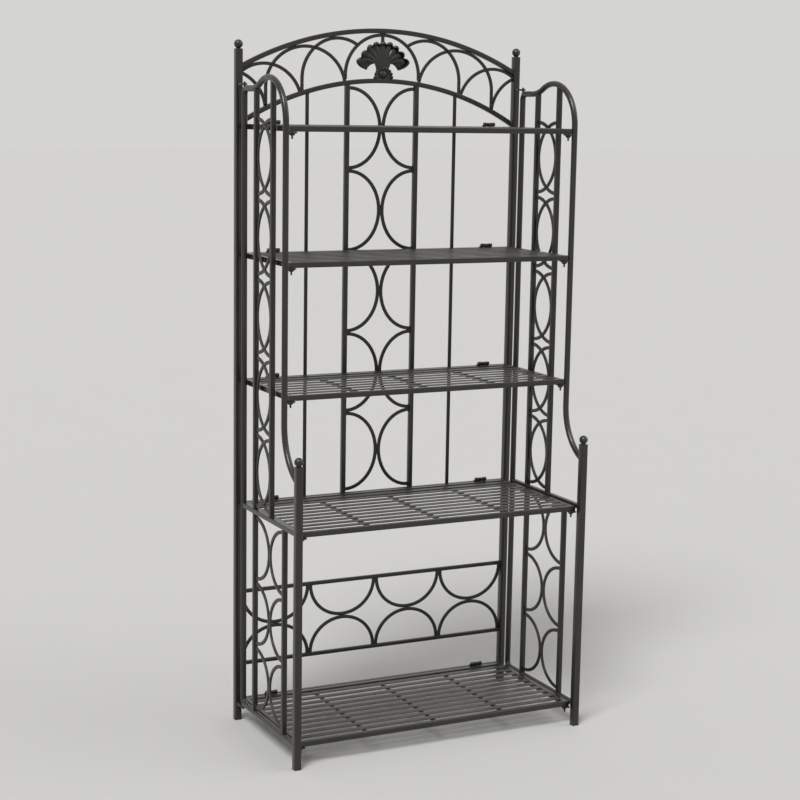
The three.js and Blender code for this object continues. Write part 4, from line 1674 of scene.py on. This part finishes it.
@dataclass
class SidePanel:
    """One side panel: bent tube, front post, rail, grilles, pins and shelf tabs."""

    layout: Layout
    welder: Welder
    rear: RearPosts
    side: int
    name: str
    crest_rise: float = 0.028
    crest_place: float = 0.0
    shoulder: float = 0.115
    dip: float = 0.1189
    sweep_above_shelf: float = 0.266
    sweep: float = 0.145
    rail_above_shelf: float = 0.005
    rear_bar: float = 0.0805
    front_bar: float = -0.032
    low_bar: float = -0.1235
    grille_top_gap: float = 0.062
    end_gap: float = 0.0025
    upper_pairs: int = 5
    lower_pairs: int = 3
    post_above_shelf: float = 0.172
    pin_radius: float = 0.003
    pin_end: float = 0.004
    pin_tip: float = 0.0008
    collar_radius: float = 0.006
    collar_height: float = 0.003
    collar_soft: float = 0.0005
    collar_play: float = 0.0003
    tab_reach: float = 0.020
    tab_length: float = 0.020
    tab_thickness: float = 0.004
    tab_corner: float = 0.0012
    tab_play: float = 0.0003
    tab_sink: float = 0.0005
    tab_weld: Triple = (0.0018, 0.0080, 0.0014)
    tube_bite: float = 0.55
    tube_sides: int = 28
    pin_sides: int = 24
    upper_inset: float = 0.004
    deep_inset: float = 0.0045
    ring_run_in: float = 0.002
    rail_weld: Triple = (0.0012, 0.0016, 0.0050)
    grille_weld: Triple = (0.0011, 0.0048, 0.0015)
    foot_weld: Triple = (0.0026, 0.0013, 0.0026)
    pin_weld: Profile = (
        (0, -0.001), (0.0052, -0.001), (0.0043, 0.0006), (0.0032, 0.0016), (0, 0.0017),
    )

    @property
    def body(self) -> str:
        """The moving body of this panel."""
        return f"{self.name}_panel"

    @property
    def x(self) -> float:
        """The panel's plane."""
        return self.side * self.layout.post_x

    @property
    def corner_z(self) -> float:
        """Centre line of the tube's upper run at the rear."""
        return self.layout.shelf_tops[-1] + self.rear.corner_above_shelf

    @property
    def crest_z(self) -> float:
        """Centre line of the tube at its highest."""
        return self.corner_z + self.crest_rise

    @property
    def bottom_z(self) -> float:
        """Centre line of the tube's bottom run."""
        return self.layout.bottom_shelf - self.rear.bottom_drop

    @property
    def rail_z(self) -> float:
        """Centre line of the side rail."""
        return self.layout.shelf_tops[1] + self.rail_above_shelf - self.layout.bar / 2

    @property
    def tube_front(self) -> float:
        """Place of the tube's upright front run."""
        return self.crest_place - self.shoulder

    @property
    def post_face(self) -> float:
        """Back face of the front post."""
        return self.layout.front_y + self.layout.post / 2

    def bow(
        self, y: float, z: float, radius: float, start: float, end: float, steps: int = 10
    ) -> list[Vector]:
        """Gives a circular bend in the panel's plane, angles from backwards towards up."""
        return arc(Vector((self.x, y, z)), BACKWARD * radius, UPWARD * radius, start, end, steps)

    def tube_line(self) -> list[Vector]:
        """Follows the tube from the front post's foot round to its head.

        Returns:
            Points along its middle.
        """
        layout = self.layout
        bend_radius = self.rear.corner_bend
        turn = math.acos(1 - self.crest_rise / (2 * self.dip))
        dip_y = self.crest_place + 2 * self.dip * math.sin(turn)
        into_post = self.tube_front - self.post_face + layout.tube_radius
        sweep_turn = math.acos(1 - into_post / self.sweep)
        back = layout.pivot_y - bend_radius
        line = [Vector((self.x, self.post_face - 0.003, self.bottom_z))]
        line += self.bow(back, self.bottom_z + bend_radius, bend_radius, -QUARTER, 0)
        line += self.bow(back, self.corner_z - bend_radius, bend_radius, 0, QUARTER)
        line += self.bow(dip_y, self.corner_z + self.dip, self.dip, -QUARTER, -QUARTER - turn)
        crest_y, crest_z = self.crest_place, self.crest_z
        line += self.bow(crest_y, crest_z - self.dip, self.dip, QUARTER - turn, QUARTER)[1:]
        line += self.bow(crest_y, crest_z - self.shoulder, self.shoulder, QUARTER, math.pi, 28)[1:]
        sweep_z = layout.shelf_tops[1] + self.sweep_above_shelf
        line += self.bow(self.tube_front - self.sweep, sweep_z, self.sweep, 0, -sweep_turn, 18)
        return line

    def lower_pin(self, lug: float) -> Profile:
        """Gives the lower pin's profile, with the collar that rests on the lug at that height.

        Args:
            lug: Underside of the lug.

        Returns:
            The profile, for turned().
        """
        pin, collar, soft = self.pin_radius, self.collar_radius, self.collar_soft
        tip = lug - self.pin_end
        seat = lug + self.rear.lug_thickness + self.collar_play
        head = seat + self.collar_height
        return [
            (0, tip), (pin - self.pin_tip, tip), (pin, tip + self.pin_tip), (pin, seat),
            (collar - soft, seat), (collar, seat + soft), (collar, head - soft), (collar - soft, head),
            (pin, head), (pin, self.bottom_z), (0, self.bottom_z),
        ]

    def tube(self) -> None:
        """Bends the tube and sets the pivot pins on its rear corners."""
        layout = self.layout
        width = layout.tube_radius * 2
        stock = Stock(Outline.ROUND, width, width, sides=self.tube_sides)
        piece = Piece(f"{self.name}_bent_tube", TUBE_COAT)
        piece.add(bend(stock, stations(self.tube_line(), ACROSS)))
        upper, lower = self.rear.lug_heights
        on = shift(self.x, layout.pivot_y)
        high = upper + self.rear.lug_thickness + self.pin_end
        pin = round_pin(self.pin_radius, self.corner_z, high, self.pin_tip)
        piece.add(turned(pin, self.pin_sides), on)
        piece.add(turned(self.lower_pin(lower), self.tube_sides), on)
        rise = self.rear.corner_rise
        for z, way in ((self.corner_z + rise, 1), (self.bottom_z - rise, -1)):
            piece.add(turned(self.pin_weld, 20), on @ shift(z=z) @ Matrix.Diagonal((1, 1, way, 1)))
        foot = Vector((self.x, self.post_face, self.bottom_z))
        for turn in range(8):
            angle = turn * math.pi / 4
            ring = ACROSS * math.cos(angle) + UPWARD * math.sin(angle)
            piece.add(self.welder.bead(foot + ring * layout.tube_radius, self.foot_weld))
        piece.set_down(self.body, f"{self.name}_frame_tube")

    def front_corner(self) -> None:
        """Builds the front post with its finial and glide."""
        top = self.layout.shelf_tops[1] + self.post_above_shelf
        names = (f"{self.name}_front_upright", f"{self.name}_front_ball", f"{self.name}_front_foot")
        corner = Corner(self.layout, self.x, self.layout.front_y, top)
        corner.build(self.body, names, self.name + "_front_{}")

    def rail(self) -> None:
        """Lays the rail beside the table shelf from the front post to the tube."""
        layout = self.layout
        piece = Piece(f"{self.name}_table_rail", TUBE_COAT)
        reach = (self.post_face - 0.002, layout.pivot_y - layout.tube_radius * 0.4)
        ends = [Vector((self.x, y, self.rail_z)) for y in reach]
        piece.add(straight(square(layout.bar, BAR_CORNER), *ends, UPWARD))
        for y in (self.post_face, layout.pivot_y - layout.tube_radius * 0.9):
            self.welder.pair(piece, (self.x, y, self.rail_z), (layout.bar / 2, 0, 0), self.rail_weld)
        piece.set_down(self.body, f"{self.name}_side_rail")

    def grille_bar(self, piece: Piece, y: float, low: float, high: float) -> None:
        """Stands one square bar of a grille.

        Args:
            piece: Piece that gets it.
            y: Its place along the panel.
            low: Its lower end.
            high: Its upper end.
        """
        bar = self.layout.bar
        ends = [Vector((self.x, y, z)) for z in (low, high)]
        piece.add(straight(square(bar, BAR_CORNER), *ends, ACROSS))
        for z in (low + 0.0008, high - 0.0008):
            self.welder.pair(piece, (self.x, y, z), (bar / 2, 0, 0), self.grille_weld)

    def tube_over(self, y: float) -> float:
        """Finds the height of the tube's upper run over a place along the panel.

        Args:
            y: Place along the panel.

        Returns:
            The height of the tube's middle.
        """
        line = [point for point in self.tube_line() if point.z > self.corner_z - 0.001]
        after = max((p for p in line if p.y <= y), key=lambda p: p.y)
        before = min((p for p in line if p.y > y), key=lambda p: p.y)
        share = (y - after.y) / (before.y - after.y)
        return after.z + (before.z - after.z) * share

    def upper_grille(self) -> None:
        """Builds the crossing half rings between their two bars."""
        layout = self.layout
        foot = self.rail_z + layout.bar / 2
        piece = Piece(f"{self.name}_crossing_rings", SCROLL_COAT)
        for y in (self.rear_bar, self.front_bar):
            self.grille_bar(piece, y, foot, self.tube_over(y) - layout.tube_radius * self.tube_bite)
        low = foot + self.end_gap
        pitch = (self.corner_z - layout.tube_radius - self.grille_top_gap - low) / self.upper_pairs
        rear, front = self.rear_bar - layout.bar / 2, self.front_bar + layout.bar / 2
        maker = HalfRings(layout, self.welder, ACROSS, self.ring_run_in)
        reach = rear - front - layout.scroll_width / 2
        tall = UPWARD * ((pitch - layout.scroll_width) / 2 - self.end_gap)
        for n in range(self.upper_pairs):
            chords = [Vector((self.x, y, low + (n + 0.5) * pitch)) for y in (rear, front)]
            maker.ring(piece, chords[0], BACKWARD * -reach, tall)
            maker.ring(piece, chords[1], BACKWARD * reach, tall)
            for chord in chords:
                maker.weld(piece, chord, BACKWARD, UPWARD)
        piece.set_down(self.body, f"{self.name}_upper_grille")

    def lower_grille(self) -> None:
        """Builds the facing half rings under the side rail."""
        layout = self.layout
        head = self.rail_z - layout.bar / 2
        foot = self.bottom_z + layout.tube_radius
        piece = Piece(f"{self.name}_facing_rings", SCROLL_COAT)
        for y in (self.rear_bar, self.low_bar):
            self.grille_bar(piece, y, foot - layout.tube_radius * 0.45, head)
        low = foot + self.end_gap
        pitch = (head - self.end_gap - low) / self.lower_pairs
        maker = HalfRings(layout, self.welder, ACROSS, self.ring_run_in)
        face = (self.rear_bar - self.low_bar - layout.bar) / 2
        tall = UPWARD * ((pitch - layout.scroll_width) / 2 - self.end_gap)
        for n in range(self.lower_pairs):
            middle = Vector((self.x, (self.rear_bar + self.low_bar) / 2, low + (n + 0.5) * pitch))
            maker.facing(piece, middle, BACKWARD, tall, face)
        piece.set_down(self.body, f"{self.name}_lower_grille")

    def tabs(self) -> None:
        """Builds the five tabs that carry the shelves' front corners, and their screws."""
        layout = self.layout
        for n, top in enumerate(layout.shelf_tops):
            deep = n < layout.deep_shelves
            z = top - layout.shelf_rail - self.tab_play
            front = self.post_face + self.deep_inset if deep else self.tube_front - self.upper_inset
            y = front + layout.shelf_rail / 2
            outer = layout.inner_x if deep else layout.post_x - layout.tube_radius * self.tube_bite
            middle = (layout.inner_x if deep else layout.post_x - layout.tube_radius) - self.tab_reach / 2
            half = self.tab_length / 2
            flip = STAY if self.side > 0 else MIRROR
            piece = Piece(f"{self.name}_tab_{n + 1}", TAB_COAT)
            under = z - self.tab_thickness
            low = (middle - self.tab_reach / 2, y - half, under)
            piece.add(block(low, (outer, y + half, z), self.tab_corner), flip)
            if deep:
                low = (outer - self.tab_reach * 0.55, self.post_face - self.tab_sink, under)
                piece.add(block(low, (outer, y, z), self.tab_corner), flip)
            piece.add(self.welder.bead((outer, y, under), self.tab_weld), flip)
            piece.set_down(self.body, f"{self.name}_shelf_tab_{n + 1}")
            screw = f"{self.name}_wing_screw_{n + 1}"
            WingScrew().build(screw, flip @ shift(middle, y, under), self.body)

    def build(self) -> None:
        """Builds the whole panel."""
        self.front_corner()
        self.tube()
        self.rail()
        self.upper_grille()
        self.lower_grille()
        self.tabs()


@dataclass
class Shelf:
    """One folding shelf: mitred rim, hinge leaves, crowned slats and cross bars."""

    layout: Layout
    welder: Welder
    number: int
    side_gap: float = 0.002
    rear_gap: float = 0.0023
    upper_front: float = -0.119
    deep_front: float = -0.197
    slat_width: float = 0.022
    slat_thickness: float = 0.002
    slat_pitch: float = 0.036
    slat_crown: float = 0.0005
    cross_bars: int = 3
    cross_width: float = 0.006
    cross_height: float = 0.008
    eye_radius: float = 0.0045
    eye_width: float = 0.014
    pin_bore: float = 0.0023
    leaf: float = 0.002
    rim_corner: float = 0.0016
    plate_corner: float = 0.0006
    bar_corner: float = 0.0011
    weld_lift: float = 0.0002
    slat_weld: Triple = (0.0014, 0.0066, 0.0011)
    cross_weld: Triple = (0.00345, 0.0035, 0.0009)
    rivet: Profile = (
        (0, 0), (0.0019, 0), (0.0016, 0.0006), (0.0009, 0.0010), (0, 0.0011),
    )

    @property
    def top(self) -> float:
        """Height of the shelf's top."""
        return self.layout.shelf_tops[self.number - 1]

    @property
    def body(self) -> str:
        """The moving body of this shelf."""
        return f"shelf_{self.number}"

    @property
    def half_width(self) -> float:
        """Half the rim's width."""
        return self.layout.post_x - self.layout.tube_radius - self.side_gap

    @property
    def rear(self) -> float:
        """Back face of the rim."""
        return self.layout.rail_y - self.layout.bar / 2 - self.rear_gap

    @property
    def front(self) -> float:
        """Front face of the rim."""
        return self.deep_front if self.number <= self.layout.deep_shelves else self.upper_front

    def rim_bar(self, piece: Piece, start: Vector, end: Vector) -> None:
        """Adds one side of the rim, mitred at both ends.

        Args:
            piece: Piece that gets it.
            start: Corner where its middle line begins.
            end: Corner where it ends.
        """
        frames = []
        for point, slant in ((start, 1.0), (end, -1.0)):
            mitre = Matrix.Identity(4)
            mitre[2][0] = slant
            frames.append(station(point, end - start, UPWARD) @ mitre)
        piece.add(bend(square(self.layout.shelf_rail, self.rim_corner), frames))

    def rim(self) -> None:
        """Builds the rim with its hinge leaves."""
        layout = self.layout
        half = layout.shelf_rail / 2
        z = self.top - half
        x, rear, front = self.half_width - half, self.rear - half, self.front + half
        corners = [Vector(p) for p in ((-x, front, z), (x, front, z), (x, rear, z), (-x, rear, z))]
        piece = Piece(f"shelf_{self.number}_frame", TUBE_COAT)
        for n, start in enumerate(corners):
            self.rim_bar(piece, start, corners[(n + 1) % 4])
        for corner in corners:
            back = math.copysign(1, (rear + front) / 2 - corner.y)
            inward = Vector((-math.copysign(1, corner.x), back, 0))
            piece.add(self.welder.bead(corner + inward * (half * 1.02), (0.0016, 0.0016, half * 0.8)))
        for x in (-layout.hinge_offset, layout.hinge_offset):
            self.leaf_eye(piece, x)
        piece.set_down(self.body, f"shelf_{self.number}_rim")

    def leaf_eye(self, piece: Piece, x: float) -> None:
        """Adds a hinge leaf: plate on the rim, web and eye curled round the pin, two rivets.

        Args:
            piece: Piece that gets it.
            x: Middle of the eye.
        """
        layout = self.layout
        half = self.eye_width / 2
        z = self.top + layout.hinge_rise
        piece.add(eye(self.eye_radius, self.pin_bore, self.eye_width), shift(x, layout.axis_y, z) @ LYING)
        plates = ((layout.shelf_rail, self.top + self.leaf), (self.leaf, z + self.eye_radius * 0.3))
        for depth, high in plates:
            low = (x - half, self.rear - depth, self.top - SINK)
            piece.add(block(low, (x + half, self.rear, high), self.plate_corner))
        y = self.rear - layout.shelf_rail * 0.62
        for side in (-1, 1):
            piece.add(turned(self.rivet, 16), shift(x + side * half * 0.52, y, self.top + self.leaf))

    def slat(self, y: float, end: float) -> BMesh:
        """Rolls one slat with a slight crown.

        Args:
            y: Middle of the slat.
            end: Half its length.

        Returns:
            Its mesh.
        """
        half = self.slat_width / 2
        under = self.top - self.slat_thickness
        work = block((-end, y - half, under), (end, y + half, self.top), self.plate_corner)
        for share in (-0.5, 0.0, 0.5):
            bmesh.ops.bisect_plane(
                work, geom=work.verts[:] + work.edges[:] + work.faces[:], dist=1e-7,
                plane_co=(0, y + share * half, 0), plane_no=BACKWARD,
            )
        middle = self.top - self.slat_thickness / 2
        for vert in work.verts:
            drop = self.slat_crown * ((vert.co.y - y) / half) ** 2
            if vert.co.z > middle:
                vert.co.z -= drop
        return work

    def deck(self) -> None:
        """Lays the slats and the cross bars under them."""
        layout = self.layout
        end = self.half_width - layout.shelf_rail
        front, rear = self.front + layout.shelf_rail, self.rear - layout.shelf_rail
        gaps = round((rear - front + self.slat_width) / self.slat_pitch)
        pitch = (rear - front + self.slat_width) / gaps
        places = [front + n * pitch - self.slat_width / 2 for n in range(1, gaps)]
        under = self.top - self.slat_thickness
        piece = Piece(f"shelf_{self.number}_slats", SLAT_COAT)
        for y in places:
            piece.add(self.slat(y, end))
            self.welder.pair(piece, (0, y, under + self.weld_lift), (end, 0, 0), self.slat_weld)
        piece.set_down(self.body, f"shelf_{self.number}_deck")
        bars = Piece(f"shelf_{self.number}_cross_bars", SCROLL_COAT)
        for n in range(1, self.cross_bars + 1):
            x = self.half_width * (2 * n / (self.cross_bars + 1) - 1)
            half = self.cross_width / 2
            low = (x - half, front, under - self.cross_height)
            bars.add(block(low, (x + half, rear, under), self.bar_corner))
            for y in places:
                bars.add(self.welder.bead((x, y, under - self.weld_lift), self.cross_weld))
        bars.set_down(self.body)

    def build(self) -> None:
        """Builds the shelf."""
        self.rim()
        self.deck()


@dataclass
class Studio:
    """Pale floor, soft light from two wide lamps and the camera at the photograph's angle."""

    eye: Triple = (-2.1547, -4.2551, 1.6991)
    yaw: float = 26.489
    pitch: float = 9.380
    roll: float = 0.948
    focal_pixels: float = 1782.4
    frame_pixels: float = 800.0
    sensor: float = 36.0
    far: float = 200.0
    floor_size: float = 60.0
    pale: Colour = (0.665, 0.660, 0.650)
    room_share: float = 0.50
    floor_roughness: float = 0.8
    lamps: tuple[tuple[str, Triple, float, float], ...] = (
        ("key", (-0.62, -0.55, 1.05), 24.0, 2.08), ("fill", (0.9, -0.5, 0.75), 50.0, 0.62),
    )

    def camera(self) -> None:
        """Sets the camera."""
        lens = bpy.data.cameras.new("camera")
        lens.sensor_width = self.sensor
        lens.lens = self.focal_pixels / self.frame_pixels * self.sensor
        lens.clip_end = self.far
        taker = bpy.data.objects.new("camera", lens)
        bpy.context.scene.collection.objects.link(taker)
        yaw, pitch, roll = (math.radians(a) for a in (self.yaw, self.pitch, self.roll))
        ahead = Vector((
            math.sin(yaw) * math.cos(pitch), math.cos(yaw) * math.cos(pitch), -math.sin(pitch),
        ))
        level = Vector((math.cos(yaw), -math.sin(yaw), 0))
        upright = level.cross(ahead)
        right = level * math.cos(roll) + upright * math.sin(roll)
        up = upright * math.cos(roll) - level * math.sin(roll)
        turn = Matrix((right, up, -ahead)).transposed().to_4x4()
        taker.matrix_world = Matrix.Translation(self.eye) @ turn
        bpy.context.scene.camera = taker

    def floor(self) -> None:
        """Lays the floor."""
        work = bmesh.new()
        bmesh.ops.create_grid(work, x_segments=1, y_segments=1, size=self.floor_size)
        mesh = bpy.data.meshes.new("floor")
        work.to_mesh(mesh)
        work.free()
        made = bpy.data.materials.new("pale_floor")
        made.use_nodes = True
        wire = Wiring(made.node_tree)
        here = wire.add("TexCoord", {}).outputs["Object"]
        cloud = wire.noise(here, scale=3.0, detail=5.0, roughness=0.6)
        darker = tuple(c * 0.98 for c in self.pale)
        wire.dress({"Base Color": wire.mix(cloud, darker, self.pale), "Roughness": self.floor_roughness})
        mesh.materials.append(made)
        floor = bpy.data.objects.new("floor", mesh)
        bpy.context.scene.collection.objects.link(floor)

    def lamp(self, name: str, towards: Sequence[float], spread: float, strength: float) -> None:
        """Hangs one wide far lamp.

        Args:
            name: The lamp's name.
            towards: Direction from the rack to the lamp.
            spread: Angle in degrees that the lamp fills, which softens its shadow.
            strength: Its light on a facing surface.
        """
        light = bpy.data.lights.new(name, "SUN")
        light.angle = math.radians(spread)
        light.energy = strength
        hung = bpy.data.objects.new(name, light)
        hung.rotation_euler = Vector(towards).to_track_quat("Z", "Y").to_euler()
        bpy.context.scene.collection.objects.link(hung)

    def world(self) -> None:
        """Fills the room with pale light, at full strength where the camera or gloss sees it."""
        world = bpy.data.worlds.new("pale_room")
        bpy.context.scene.world = world
        world.use_nodes = True
        wire = Wiring(world.node_tree)
        ray = wire.add("LightPath", {}).outputs
        seen = wire.maths("MAXIMUM", ray["Is Camera Ray"], ray["Is Glossy Ray"])
        clear = wire.maths("MAXIMUM", seen, ray["Is Transmission Ray"])
        ground = world.node_tree.nodes["Background"].inputs
        wire.feed(ground["Color"], self.pale)
        power = wire.maths("MULTIPLY_ADD", clear, 1 - self.room_share, self.room_share)
        wire.feed(ground["Strength"], power)

    def build(self) -> None:
        """Sets the whole stage."""
        bpy.context.scene.view_settings.view_transform = "Standard"
        self.camera()
        self.floor()
        self.world()
        for lamp in self.lamps:
            self.lamp(*lamp)


def main() -> None:
    """Builds the rack and its stage, and reports each piece."""
    logging.basicConfig(level=logging.INFO, format="%(name)s: %(message)s")
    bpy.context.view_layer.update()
    layout = Layout()
    welder = Welder()
    Studio().build()
    rear = RearPosts(layout, welder)
    parts: list = [
        rear,
        Crest(layout, welder),
        Shell(layout),
        BackLattice(layout, welder),
        LowBand(layout, welder),
        HingeRail(layout, welder),
        *(SidePanel(layout, welder, rear, side, name) for name, side in SIDES),
        *(Shelf(layout, welder, n) for n in range(1, layout.shelf_count + 1)),
    ]
    for part in parts:
        part.build()


if __name__ == "__main__":
    main()
